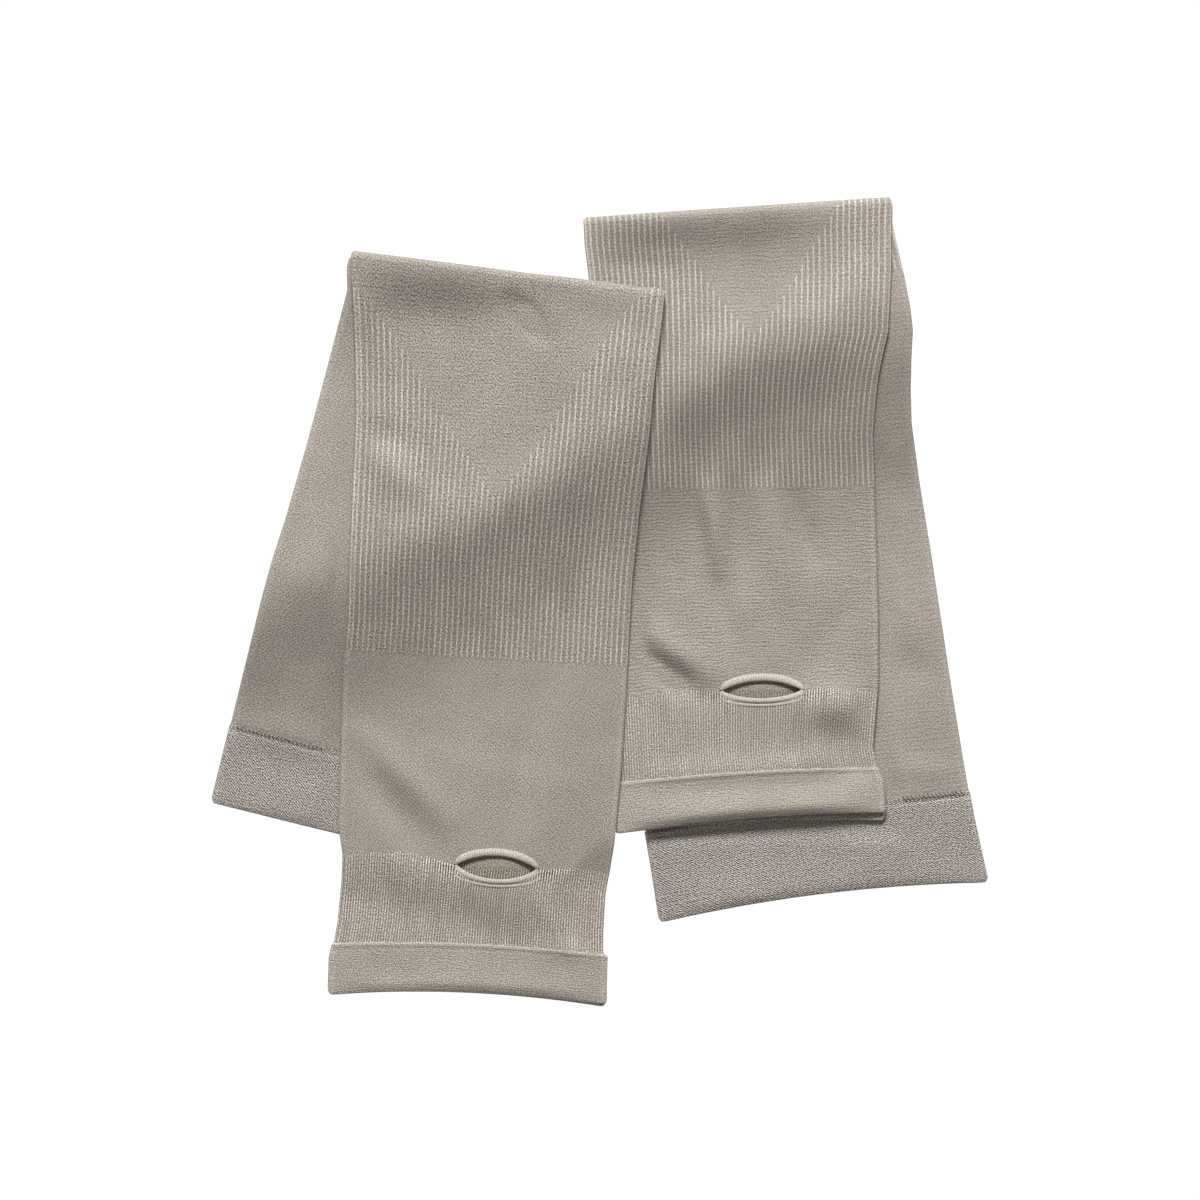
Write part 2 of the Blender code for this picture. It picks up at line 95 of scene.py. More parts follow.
# ---- The fold's soft roll, and the dip behind it ----
ROLL_HEIGHT = 0.8
ROLL_AT = 4.0
ROLL_WIDTH = 4.5
DIP_DEPTH = 0.7
DIP_AT = 15.0
DIP_WIDTH = 6.0

# ---- Ribs ----
RIBS = 50
RIB_HEIGHT = 0.34
RIB_PHASES = (0.0, 0.22, 0.34, 0.42, 0.5, 0.58, 0.66, 0.78)
RIB_SHARPNESS = 0.13
RIB_START = 1.0
CUFF_RIBS = 98
CUFF_RIB_HEIGHT = 0.2
CUFF_PHASES = (0.0, 0.25, 0.5, 0.75)
CUFF_RIB_START = 3.0
CARRY_ON = 29.5  # how far the right sleeve's ribs run on past its fold
CARRY_FROM = 0.6  # and the side that they start at there
GATHER = 1.6  # how much deeper the fine ribs are beside the thumb hole's corners
GATHER_REACH = 5.0
GATHER_DEPTH = 3.0

# ---- Thumb hole ----
LIP = 2.5
LIP_END = 1.0
LIP_HEIGHT = 1.7
LIP_TUCK = 0.9  # how far the cloth goes in under the rolled edge
HOLE_ROUND = 0.6
HOLE_REACH = 22.0  # the rows bend round the hole over this length
HOLE_FADE = 1.5
HOLE_SWELL = 0.7
SWELL_WIDTH = 13.0
SWELL_FALL = 1.6
HOLE_FILL = 3.3  # how far the lower wall bulges up under the hole
FILL_WIDTH = 7.0
FILL_FALL = 1.2

# ---- Mesh ----
NOMINAL_HALF = 50.0  # half the width that the knit's coordinates are counted over
EDGE_STEPS = 7
ROW = 1.25
PLAIN_STEP = 1.3
COARSE_STEP = 5.0
TURN_STEPS = 14
END_STEPS = 6
HOLE_COLUMNS = 41
HOLE_INNER_COLUMNS = 15
HOLE_CLEAR = 1.03
HOLE_GAP = 0.01  # the wrist stops this short of the hole's middle
NEAR_HOLE = 4
NEAR_HOLE_ROW = 0.5
ROLL_ALONG = 90
ROLL_START = 0.02
ROLL_SIDES = 12
SHARP_ANGLE = math.radians(80)

# ---- The raised lines along the bands ----
BEAD_STRETCH = 4.0
BEAD_ROW = 0.35
BEAD_AT = 1.0
BEAD_WIDTH = 0.45
GROOVE_AT = 2.1
GROOVE_WIDTH = 0.5
# how dark the painted shade in the groove beside a raised line is
GROOVE_PAINTED_SHADE = 0.6
HEM_BEAD = 0.14
HEM_GROOVE = 0.12
BAND_BEAD = 0.2
BAND_GROOVE = 0.12

# ---- The thumb hole's rolls, from the opening outwards ----
UPPER_ROLL = 2.7
LOWER_ROLL = 1.8
CORD_FROM = 2.0
CORD_TO = 3.2
CORD_HEIGHT = 1.45
ROLL_SINK = 1.0
ROLL_TAPER = 0.45  # how thick a roll still is at the hole's corners

# ---- The stitches that join the arm band, and the painted shade under them ----
SEAM_PAINTED_SHADE = 1.4
SEAM_AT = 0.35
SEAM_WIDTH = 0.5
LINE_AT = 2.0
LINE_WIDTH = 0.6
STITCH_SPACING = 1.47
STITCH_RADIUS = 0.4
STITCH_TIP = 0.35  # how thick it still is at its ends
STITCH_LIFT = 0.45
STITCH_SIDES = 6
STITCH_RINGS = 6
STITCH_FROM = -0.9
STITCH_TO = 1.1
STITCH_LEAN = 0.009

# ---- The inside of the tube: how much darker and warmer it is, and how light its stripes ----
# The darker tone is partly the knit's own and partly painted shade, inside the thumb hole and the bands'
# slits.
INSIDE_TONE_AND_PAINTED_SHADE = 0.76
INSIDE_STRIPE = 0.14
INSIDE_STRIPE_WIDTH = 0.3
INSIDE_TINT = (1.0, 0.97, 0.92)

UP = np.array([0.0, 0.0, 1.0])

Section = namedtuple("Section", "down left right")
Crease = namedtuple("Crease", "x y x_end y_end width height")
Hole = namedtuple("Hole", "down across half_length above below")
Zones = namedtuple("Zones", "v_line rib_end hem cuff_line")
Spot = namedtuple("Spot", "across down")
Ring = namedtuple("Ring", "side out depth on_top around across_knit crest")
Oval = namedtuple("Oval", "height power reach")


def smooth(x):
    """0 up to x = 0, 1 from x = 1, and a soft step between."""
    x = np.clip(x, 0.0, 1.0)
    return x * x * (3 - 2 * x)


def bell(x):
    return np.exp(-0.5 * x**2)


def add_object(name, data):
    thing = bpy.data.objects.new(name, data)
    bpy.context.scene.collection.objects.link(thing)
    return thing


def new_look(name):
    look = bpy.data.materials.new(name)
    look.use_nodes = True
    return look


def along_line(line, across):
    """How far down a line that runs across a half lies."""
    return np.interp(across, [spot.across for spot in line], [spot.down for spot in line])


def flattened(lift, half, down):
    """The lift with an open end pressed flat."""
    return lift * (1 - (1 - END_LIFT) * smooth((down - half.end + END_FLAT) / END_FLAT))


# ---- The halves of the sleeves ----


class Half:
    """One half of a folded sleeve. Down runs from the fold to the open end, and across runs to the right."""

    def __init__(self, fold, fold_heading, heading, sections, end, band, bow, slant, under_end, creases):
        self.fold = np.array(fold)
        angle = math.radians(heading)
        self.down_axis = np.array([math.sin(angle), -math.cos(angle)])
        self.across_axis = np.array([math.cos(angle), math.sin(angle)])
        self.tilt = math.tan(math.radians(heading - fold_heading))
        self.sections = np.array(sections)
        self.end = end
        self.band = band
        self.bow = bow
        self.slant = slant
        self.under_end = under_end
        self.creases = creases

    def edges(self, down):
        stations = self.sections[:, 0]
        return (
            np.interp(down, stations, self.sections[:, 1]),
            np.interp(down, stations, self.sections[:, 2]),
        )

    def across(self, down, side, out):
        """Where a ring's point lies across: side is -1 in the left edge's middle, 1 in the right one's."""
        left, right = self.edges(down)
        radius = TUBE / 2
        return left + radius + (right - left - 2 * radius) * (side + 1) / 2 + out

    def place(self, down, across, side):
        """x and y. The rows lie along the fold at one end, and along the open end's curve at the other."""
        slanted = down + self.tilt * across * (1 - smooth((down - TURN_OUT) / FOLD_SKEW))
        near_end = smooth((down - self.end + END_CURVE) / END_CURVE)
        slanted = slanted + (self.bow * (1 - side**2) + self.slant * side) * near_end
        spot = self.fold + slanted[:, None] * self.down_axis + across[:, None] * self.across_axis
        return spot[:, 0], spot[:, 1]

    def inside(self, x, y):
        """How far inside this half's outline a point lies, with the fold taken as open."""
        offset = np.stack([x - self.fold[0], y - self.fold[1]], axis=-1)
        down = offset @ self.down_axis
        across = offset @ self.across_axis
        left, right = self.edges(down)
        return np.minimum(np.minimum(across - left, right - across), self.end - down), down

    def rise(self, x, y):
        """How much this half lifts what lies on it."""
        inside, down = self.inside(x, y)
        thick = LAYER + BAND_EXTRA * smooth((down - self.band + BAND_RAMP + BAND_MARGIN) / BAND_RAMP)
        return thick * smooth((inside + MARGIN + RAMP) / RAMP)

    def free_of(self, x, y):
        """1 where this half doesn't cover a point, and 0 where it does."""
        inside, down = self.inside(x, y)
        return 1 - smooth((np.minimum(inside, down) + MARGIN + UNCOVER) / UNCOVER)


def crease_lift(creases, x, y, side, down):
    """How far the wall that shows stands above a flat one: a pillow, the fold's roll, and soft creases."""
    inner = 1 - side**PILLOW_POWER
    roll = ROLL_HEIGHT * bell((down - ROLL_AT) / ROLL_WIDTH) - DIP_DEPTH * bell((down - DIP_AT) / DIP_WIDTH)
    lift = (PILLOW + roll) * inner
    for crease in creases:
        start = np.array([crease.x, crease.y])
        run = np.array([crease.x_end, crease.y_end]) - start
        offset = np.stack([x, y], axis=-1) - start
        along = np.clip(offset @ run / (run @ run), 0.0, 1.0)
        away = np.linalg.norm(offset - along[:, None] * run, axis=1)
        fade = np.sin(np.pi * (CREASE_TIP + (1 - 2 * CREASE_TIP) * along))
        lift = lift + CREASE_RELIEF * crease.height * fade * inner * bell(away / crease.width)
    return np.maximum(lift, 0.0)


class Sleeve:
    """A folded tube: its hand half on its arm half, over the halves in below."""

    def __init__(self, hand, arm, hole, zones, below, carries_on):
        self.hand = hand
        self.arm = arm
        self.hole = hole
        self.zones = zones
        self.below = below
        self.carries_on = carries_on
        self.above = []

    def floor(self, x, y):
        """The height of what the whole sleeve lies on."""
        return sum((half.rise(x, y) for half in self.below), np.zeros_like(x))

    def free(self, half, x, y):
        """1 where nothing lies on this half."""
        covering = list(self.above) + ([self.hand] if half is self.arm else [])
        clear = np.ones_like(x)
        for cover in covering:
            clear = clear * cover.free_of(x, y)
        return clear

    def rib_strength(self, down, across):
        """1 where the wide ribs stand, and 0 inside the plain V."""
        edge = along_line(self.zones.v_line, across)
        return smooth((down - edge) / RIB_START) * smooth((self.zones.rib_end - down) / RIB_START)

    def cuff_strength(self, down, across):
        """How strong the fine ribs are: they fade in at the cuff's start, and gather beside the hole."""
        hole = self.hole
        gather = 0.0
        for end in (-1, 1):
            corner = hole.across + end * (hole.half_length + LIP_END)
            outward = (across - corner - end * GATHER_REACH / 2) / GATHER_REACH
            gather = gather + GATHER * bell(np.hypot(outward, (down - hole.down) / GATHER_DEPTH))
        return smooth((down - hole.down + CUFF_RIB_START / 2) / CUFF_RIB_START) * (1 + gather)

    def hole_shift(self, down, across):
        """How far the top wall's points are pushed down, round the hole and along the cuff's start."""
        hole = self.hole
        reach = (across - hole.across) / (hole.half_length + LIP_END)
        arch = np.maximum(1 - reach**2, 0.0) ** HOLE_ROUND
        below = down >= hole.down
        height = np.where(below, hole.below + LIP - LIP_TUCK, -hole.above - LIP + LIP_TUCK)
        near = np.maximum(1 - np.abs(down - hole.down) / HOLE_REACH, 0.0) ** HOLE_FADE
        line = along_line(self.zones.cuff_line, across)
        return (height * arch + line * (1 - arch)) * near

    def swell(self, down, across):
        """The cloth stands up a little round the hole."""
        hole = self.hole
        aside = (across - hole.across) / (hole.half_length + SWELL_WIDTH)
        return HOLE_SWELL * bell(np.hypot(aside, (down - hole.down) / SWELL_WIDTH) * SWELL_FALL)

    def fill(self, down, across):
        """The lower wall's inner face bulges up under the hole."""
        hole = self.hole
        reach = np.hypot((across - hole.across) / hole.half_length, (down - hole.down) / FILL_WIDTH)
        return HOLE_FILL * bell(reach * FILL_FALL)

    def hand_lift(self, x, y, side, down, across):
        lift = crease_lift(self.hand.creases, x, y, side, down) + self.swell(down, across) * (1 - side**2)
        return flattened(lift, self.hand, down)


left_hand = Half(
    fold=(-31.9, 115.0),
    fold_heading=-7.3,
    heading=-3.22,
    sections=[
        Section(0, -55, 55), Section(8, -54.4, 54.7), Section(20, -52.6, 54.1),
        Section(34, -51.3, 53.2), Section(54, -50, 52.5), Section(80, -49.7, 50.6),
        Section(104, -49.5, 49.4), Section(125, -48.8, 49.3), Section(146, -49.4, 49.5),
        Section(172, -48.6, 49.2), Section(197, -47.8, 48.3), Section(206, -46, 47.3),
        Section(215, -45.9, 46.2), Section(229, -46.5, 46.2), Section(236.2, -47.4, 46.6),
        Section(237, -47.8, 47.9), Section(241, -48.6, 48), Section(254, -48.3, 48.5),
    ],
    end=254.2,
    band=236.3,
    bow=-2.7,
    slant=-1.0,
    under_end=0.9,
    creases=[
        Crease(-84, 117, -38, 111.5, 8, 1.5),
        Crease(-80, 100, -45, 97.5, 6, -0.6),
        Crease(-30.4, 104.2, -19.9, 92.7, 2.8, -1.4),
        Crease(-25, 109, -6, 106, 4, -0.5),
        Crease(-83.5, 60.5, -70, 55, 3.2, -1.2),
        Crease(-83.5, 53, -60, 36, 4.5, 1.3),
        Crease(-84, 12, -34, 33, 8, 0.9),
        Crease(-38, 31, 8, 54, 8, 0.9),
        Crease(-86.9, -12, 8, 30, 9, -0.7),
        Crease(-84.6, -44.9, -53.3, -75.1, 4, 1),
        Crease(-82.5, -58.8, -60, -87, 4.5, -0.8),
        Crease(-84, -78, -68, -94, 6, 0.3),
        Crease(-23, -30, -31, -84, 3.5, -0.6),
        Crease(-13, -32, -23, -86, 4.5, 0.6),
        Crease(-14, -104, -1, -114, 3.5, -0.3),
        Crease(-19, -120.6, 1.6, -123.8, 2.4, 0.7),
        Crease(-80, -127, -62, -133, 3.5, -0.3),
        Crease(-88, -135.5, 0, -138.5, 5, 0.5),
    ],
)
left_arm = Half(
    fold=(-31.9, 115.0),
    fold_heading=-7.3,
    heading=-13.86,
    sections=[
        Section(0, -54.9, 54.9), Section(6, -54.8, 54.9), Section(18, -52.7, 54.9),
        Section(45, -53, 55), Section(74, -53.5, 55), Section(103, -54.6, 55.2),
        Section(118, -55.7, 55.3), Section(132, -56, 55.4), Section(205, -55.9, 55.7),
    ],
    end=204.6,
    band=176.3,
    bow=0.0,
    slant=0.0,
    under_end=0.0,
    creases=[
        Crease(-97, 66, -90, 62, 6, 0.6),
        Crease(-116, 4, -90, 10, 6, 0.8),
        Crease(-122, -20, -90, -14, 7, -0.9),
        Crease(-128, -40, -96, -49.5, 3.5, 0.35),
        Crease(-130, -52, -98, -60, 4, -0.35),
    ],
)
right_hand = Half(
    fold=(48.2, 137.0),
    fold_heading=3.87,
    heading=0.79,
    sections=[
        Section(0, -53.9, 53.7), Section(10, -53.6, 53.2), Section(23, -52.4, 53),
        Section(44, -51.5, 51.7), Section(52, -50.9, 49.7), Section(60, -50.4, 48),
        Section(68, -50.1, 46.9), Section(80, -49.7, 45.8), Section(107, -49.1, 46.4),
        Section(143, -48.2, 46.9), Section(165, -47.6, 46.7), Section(177, -47, 45.6),
        Section(190, -46.4, 44.5), Section(197, -46.2, 45.6), Section(203, -46, 47.7),
        Section(214, -46, 48.3),
    ],
    end=214.4,
    band=197.5,
    bow=-1.9,
    slant=-3.0,
    under_end=2.8,
    creases=[
        Crease(-4, 132.5, 36, 133.5, 7, 1),
        Crease(24, 133.5, 76, 136.5, 6, 0.8),
        Crease(26, 112, 84, 116, 8, -0.6),
        Crease(41.9, 131.6, 40.9, 128.2, 1.1, -0.2),
        Crease(12, 60, 52, 84, 8, 1.1),
        Crease(50, 84, 97, 95, 8, 1.1),
        Crease(14, 44, 97, 72, 8.5, -0.9),
        Crease(21, 34, 28, 10, 4, -1.4),
        Crease(31, 38.5, 36, 17, 3, -0.9),
        Crease(38, 39, 41.5, 12, 3, 1.4),
        Crease(47.5, 38, 50, 8, 3.5, -0.8),
        Crease(35, 14.2, 48.2, -17.1, 3.5, -0.5),
        Crease(58, 38, 64, 4, 4, 1.1),
        Crease(66, 40, 74, 16, 3.5, -0.7),
        Crease(14.1, -8.4, 35, -24.7, 4, 1.4),
        Crease(8.9, -15.6, 35, -32.3, 3.5, -1.4),
        Crease(74, -37, 97, -34, 6, 2.3),
        Crease(69.7, -25.5, 88, 0.3, 4, -0.4),
        Crease(80, -46, 104, -60, 4.5, -1.1),
        Crease(14.1, -60.8, 80, -57, 3, 0.7),
        Crease(70, -64, 94, -60, 3.5, -0.5),
        Crease(12, -77.5, 97, -71, 5.5, 0.9),
    ],
)
right_arm = Half(
    fold=(48.2, 137.0),
    fold_heading=3.87,
    heading=7.2,
    sections=[
        Section(0, -53.9, 53.9), Section(10, -54.1, 52.7), Section(20, -54.3, 53.5),
        Section(31, -54.6, 54.6), Section(42, -55, 55.3), Section(50, -55.2, 55.2),
        Section(60, -55.5, 53.4), Section(70, -55.7, 51.9), Section(82, -56, 50.7),
        Section(102, -56.5, 50.8), Section(130, -57.2, 51.8), Section(172, -58.2, 52.8),
        Section(201, -58.8, 53.8), Section(212, -59.3, 54.4), Section(222, -58.8, 55),
        Section(243, -58.2, 56.9),
    ],
    end=243.8,
    band=211.5,
    bow=-3.0,
    slant=0.2,
    under_end=0.0,
    creases=[
        Crease(98, 99, 110, 95, 8, 1.6),
        Crease(98, 66, 111, 63, 8, -1.6),
        Crease(101, 54, 110.5, 52.5, 4, 0.9),
        Crease(100.8, 40.4, 112, 36, 4, -0.8),
        Crease(104.5, 0.5, 112, -15, 4.5, 0.7),
        Crease(104, -21, 119, -26, 4, -0.6),
        Crease(106, -58, 126, -60, 3, 0.7),
        Crease(30, -92, 90, -84, 7, -0.5),
        Crease(24, -104, 60, -101, 5, 0.4),
    ],
)

left_sleeve = Sleeve(
    hand=left_hand,
    arm=left_arm,
    hole=Hole(down=207.2, across=7.8, half_length=13.7, above=3.7, below=4.3),
    zones=Zones(
        v_line=[
            Spot(-55, 10.5), Spot(-50, 12.5), Spot(-41, 21), Spot(-31.5, 33), Spot(-23, 46.5),
            Spot(-12, 62.5), Spot(0, 79.5), Spot(8.5, 68.5), Spot(19.5, 49.5), Spot(30.5, 30),
            Spot(36, 20.5), Spot(43, 7.5), Spot(50, -1), Spot(55, -6),
        ],
        rib_end=135.6,
        hem=236.3,
        cuff_line=[
            Spot(-48, 0.5), Spot(-40, -2.6), Spot(-24, -3.6), Spot(-14, -1.6), Spot(-7, 0), Spot(24, 0),
            Spot(36, -1.2), Spot(48, 0.5),
        ],
    ),
    below=[right_arm, right_hand],
    carries_on=0.0,
)
right_sleeve = Sleeve(
    hand=right_hand,
    arm=right_arm,
    hole=Hole(down=168.1, across=5.9, half_length=13.6, above=3.1, below=2.8),
    zones=Zones(
        v_line=[
            Spot(-54, -30), Spot(-26, 2), Spot(-21, 9.5), Spot(-14.5, 19), Spot(-8, 30),
            Spot(-2, 37.5), Spot(4.5, 44.5), Spot(11.5, 36.5), Spot(18, 27), Spot(23, 18),
            Spot(30, 8.5), Spot(35, 1), Spot(54, -28),
        ],
        rib_end=98.4,
        hem=197.5,
        cuff_line=[
            Spot(-48, 2.5), Spot(-36, 0.5), Spot(-20, -0.6), Spot(-9, 0), Spot(21, 0),
            Spot(32, -0.8), Spot(46, 1),
        ],
    ),
    below=[],
    carries_on=CARRY_ON,
)
right_sleeve.above = [left_hand, left_arm]


# ---- The tube's rings ----


def plain_sides(step, low=-1.0, high=1.0):
    return list(np.linspace(low, high, max(2, round(NOMINAL_HALF * (high - low) / step) + 1)))


def ribbed_sides(count, phases, low=-1.0):
    """A ribbed wall's columns, at the same places in every rib, from side low to the right edge."""
    first = round(count * (low + 1) / 2)
    numbers = [rib + phase for rib in range(first, count) for phase in phases] + [count]
    return [2 * number / count - 1 for number in numbers]


def rib_profile(sides, count):
    """The height of a narrow rib at each column."""
    phase = np.mod(count * (np.array(sides) + 1) / 2, 1.0)
    return np.exp(-(((phase - 0.5) / RIB_SHARPNESS) ** 2))


def cuff_profile(sides, count):
    """The height of a fine round rib at each column."""
    return np.sin(np.pi * count * (np.array(sides) + 1) / 2) ** 2


def tube_ring(top, under, radius, thick, crest=None, under_crest=None):
    """A flattened ring: top wall, round right edge, lower wall, round left edge."""
    middle = thick / 2
    edge_length = math.pi * TUBE / 2
    turns = [step / EDGE_STEPS for step in range(1, EDGE_STEPS)]
    rows = []
    for i, side in enumerate(top):
        height = crest[i] if crest is not None else 0.0
        rows.append((side, 0.0, middle + radius, 1.0, NOMINAL_HALF * side, height))
    for turn in turns:
        out, up = radius * math.sin(math.pi * turn), radius * math.cos(math.pi * turn)
        place = NOMINAL_HALF + edge_length * turn
        rows.append((1.0, out, middle + up, (1 + math.cos(math.pi * turn)) / 2, place, 0.0))
    for i, side in enumerate(reversed(under)):
        height = under_crest[len(under) - 1 - i] if under_crest is not None else 0.0
        place = NOMINAL_HALF + edge_length + NOMINAL_HALF * (1 - side)
        rows.append((side, 0.0, middle - radius, 0.0, place, height))
    for turn in turns:
        out, up = -radius * math.sin(math.pi * turn), -radius * math.cos(math.pi * turn)
        place = 3 * NOMINAL_HALF + edge_length * (1 + turn)
        rows.append((-1.0, out, middle + up, (1 - math.cos(math.pi * turn)) / 2, place, 0.0))
    side, out, depth, on_top, place, height = np.array(rows).T
    around = (place + NOMINAL_HALF) / (4 * NOMINAL_HALF + 2 * edge_length)
    return Ring(side, out, depth, on_top, around, place, height)


def between(outer, inner, share):
    """A ring part way from the outer face of a wall to its inner face."""
    mixed = [(1 - share) * a + share * b for a, b in zip(outer, inner)]
    return Ring(*mixed)


def end_shift(half, down, ring):
    """An open end's rounded corners, and how much further its lower wall reaches towards the right."""
    near_end = smooth((down - half.end + CORNER_REACH) / CORNER_REACH)
    left, right = half.edges(down)
    from_edge = (right - left - TUBE) / 2 * (1 - np.abs(ring.side)) + BAND / 2 - np.abs(ring.out)
    corner = np.sqrt(CORNER**2 - np.clip(CORNER - from_edge, 0.0, CORNER) ** 2) - CORNER
    return near_end * (corner + half.under_end * (1 + ring.side) / 2 * (1 - ring.on_top))


def hand_ring(sleeve, ring, row, rib=None, band_rise=0.0):
    """A ring of the hand half, with its knit coordinates and how strongly it is ribbed."""
    half = sleeve.hand
    down = np.full(len(ring.side), float(row))
    across = half.across(down, ring.side, ring.out)
    knit_down = down
    down = down + sleeve.hole_shift(down, across) * ring.on_top + end_shift(half, row, ring)
    x, y = half.place(down, across, ring.side)
    free = sleeve.free(half, x, y)
    lower_inside = (1 - ring.on_top) * np.clip(ring.depth / WALL, 0.0, 1.0)
    lift = sleeve.hand_lift(x, y, ring.side, down, across) * ring.on_top
    lift = lift + sleeve.fill(down, across) * lower_inside
    strength = rib(knit_down, across) if rib else np.zeros_like(x)
    z = sleeve.floor(x, y) + sleeve.arm.rise(x, y) + ring.depth + free * (lift + ring.crest * strength)
    z = z + band_rise * ring.on_top
    return np.stack([x, y, z], axis=1), knit_down, strength


def turn_ring(sleeve, ring, angle, rib):
    """The tube part way over its fold: 0 is the hand half's side, and a half turn the arm half's."""
    half = sleeve.hand
    down = np.full(len(ring.side), TURN_OUT)
    across = half.across(down, ring.side, ring.out)
    x, y = half.place(down, across, ring.side)
    free = sleeve.free(half, x, y)
    upward = math.cos(angle / 2) ** 2
    lift = crease_lift(half.creases, x, y, ring.side, down) * ring.on_top * upward
    knit_down = TURN_OUT - TURN_OUT * angle
    strength = rib(np.full(len(ring.side), knit_down), across)
    radius = TURN_IN + ring.depth + free * ring.crest * strength * upward
    fold_line = half.across_axis + half.tilt * half.down_axis
    normal = np.array([-fold_line[1], fold_line[0]]) / np.linalg.norm(fold_line)
    x = x + normal[0] * radius * math.sin(angle)
    y = y + normal[1] * radius * math.sin(angle)
    z = sleeve.floor(x, y) + TURN_OUT + radius * math.cos(angle) + free * lift
    return np.stack([x, y, z], axis=1), np.full(len(x), knit_down), strength


def arm_ring(sleeve, ring, row, thick, rib=None):
    """Here the tube is upside down, so the wall that shows is the ring's lower one."""
    half = sleeve.arm
    down = np.full(len(ring.side), float(row))
    across = half.across(down, ring.side, ring.out)
    knit_down = down
    down = down + end_shift(half, row, ring)
    x, y = half.place(down, across, ring.side)
    free = sleeve.free(half, x, y)
    lift = flattened(crease_lift(half.creases, x, y, ring.side, down), half, down) * (1 - ring.on_top)
    strength = rib(knit_down, across) if rib else np.zeros_like(x)
    z = sleeve.floor(x, y) + thick - ring.depth + free * (lift + ring.crest * strength)
    return np.stack([x, y, z], axis=1), knit_down, strength


# ---- Shells ----


class Shell:
    """Points and faces of one piece, with the knit's place and zone at each face's corners."""

    def __init__(self):
        self.points = np.zeros((0, 3))
        self.faces = []
        self.knit = []
        self.zone = []

    def add_rings(self, rings, shape, inside, closed=False):
        """A grid of rings, the last joined to the first if it is closed. Returns its first point's index.

        Inside is 1 for each row of faces that lies inside the tube.
        """
        start = len(self.points)
        count = len(shape.side)
        rows = len(rings)
        self.points = np.concatenate([self.points] + [points for points, _, _ in rings])
        full_turn = shape.across_knit[0] + 4 * NOMINAL_HALF + math.pi * TUBE
        places = np.append(shape.across_knit, full_turn)
        down = np.stack([knit_down for _, knit_down, _ in rings])
        strength = np.stack([strong for _, _, strong in rings])
        row = np.arange(rows if closed else rows - 1)[:, None]
        after = (row + 1) % rows
        i = np.arange(count)[None, :]
        j = (i + 1) % count
        corners = ((row, i, i), (row, j, i + 1), (after, j, i + 1), (after, i, i))
        shape_of = (len(row), count)
        faces = np.stack([np.broadcast_to(start + r * count + c, shape_of) for r, c, _ in corners], axis=-1)
        across = np.stack([np.broadcast_to(places[k], shape_of) for _, _, k in corners], axis=-1)
        downs = np.stack([down[r, c] for r, c, _ in corners], axis=-1)
        strengths = np.stack([strength[r, c] for r, c, _ in corners], axis=-1)
        self.faces += faces.reshape(-1, 4).tolist()
        self.knit += np.stack([across, downs], axis=-1).reshape(-1, 2).tolist()
        within = np.repeat(np.broadcast_to(np.asarray(inside, float), len(row)), 4 * count)
        self.zone += np.stack([strengths.reshape(-1), within], axis=-1).tolist()
        return start

    def zip(self, outer, inner, outer_start, inner_start, down):
        """Triangles between two rings with unlike numbers of points, in order round the tube."""
        n, m = len(outer.around), len(inner.around)
        i = j = 0
        while i < n or j < m:
            next_outer = outer.around[i + 1] if i + 1 < n else 1.0 + (i + 1 - n)
            next_inner = inner.around[j + 1] if j + 1 < m else 1.0 + (j + 1 - m)
            a, b = outer_start + i % n, inner_start + j % m
            if next_outer <= next_inner:
                self.faces.append([a, outer_start + (i + 1) % n, b])
                i += 1
            else:
                self.faces.append([a, inner_start + (j + 1) % m, b])
                j += 1
            self.knit += [[outer.across_knit[i % n], down]] * 3
            self.zone += [[0.0, 0.0]] * 3

    def add_tube(self, rings):
        """A closed tube through rings of points, capped at both ends."""
        start = len(self.points)
        rows, sides = rings.shape[:2]
        self.points = np.concatenate([self.points, rings.reshape(-1, 3)])
        steps_along = np.linalg.norm(np.diff(rings.mean(axis=1), axis=0), axis=1)
        along = np.concatenate([[0.0], np.cumsum(steps_along)])
        for row in range(rows - 1):
            a, b = start + row * sides, start + (row + 1) * sides
            near, far = along[row], along[row + 1]
            for i in range(sides):
                j = (i + 1) % sides
                self.faces.append([a + i, a + j, b + j, b + i])
                self.knit += [[near, i], [near, i + 1], [far, i + 1], [far, i]]
        for end_row in (0, rows - 1):
            self.faces.append([start + end_row * sides + i for i in range(sides)])
            self.knit += [[along[end_row], i] for i in range(sides)]
        self.zone += [[0.0, 0.0]] * (4 * (rows - 1) * sides + 2 * sides)

    def made(self, name, look):
        """The piece as an object, its faces all turned out."""
        mesh = bpy.data.meshes.new(name)
        mesh.from_pydata((self.points * MM).tolist(), [], self.faces)
        for map_name, values in (("knit", self.knit), ("zone", self.zone)):
            layer = mesh.uv_layers.new(name=map_name)
            layer.uv.foreach_set("vector", np.array(values, np.float32).ravel())
        shape = bmesh.new()
        shape.from_mesh(mesh)
        bmesh.ops.recalc_face_normals(shape, faces=shape.faces)
        shape.to_mesh(mesh)
        shape.free()
        mesh.shade_smooth()
        mesh.set_sharp_from_angle(angle=SHARP_ANGLE)
        corners = np.empty(len(mesh.polygons), np.int32)
        mesh.polygons.foreach_get("loop_total", corners)
        mesh.polygons.foreach_set("use_smooth", corners != 3)  # a wall's cut ends stay crisp
        mesh.materials.append(look)
        return add_object(name, mesh)


def walled(outer_rings, outer, inner_rings, inner, first_down, last_down):
    """A closed shell from the rings of a wall's outer face and those of its inner face."""
    shell = Shell()
    outer_start = shell.add_rings(outer_rings, outer, inside=False)
    inner_start = shell.add_rings(inner_rings, inner, inside=True)
    last_outer = outer_start + (len(outer_rings) - 1) * len(outer.side)
    last_inner = inner_start + (len(inner_rings) - 1) * len(inner.side)
    shell.zip(outer, inner, outer_start, inner_start, first_down)
    shell.zip(outer, inner, last_outer, last_inner, last_down)
    return shell


def steps(start, stop, longest):
    return list(np.linspace(start, stop, max(2, math.ceil(abs(stop - start) / longest) + 1)))


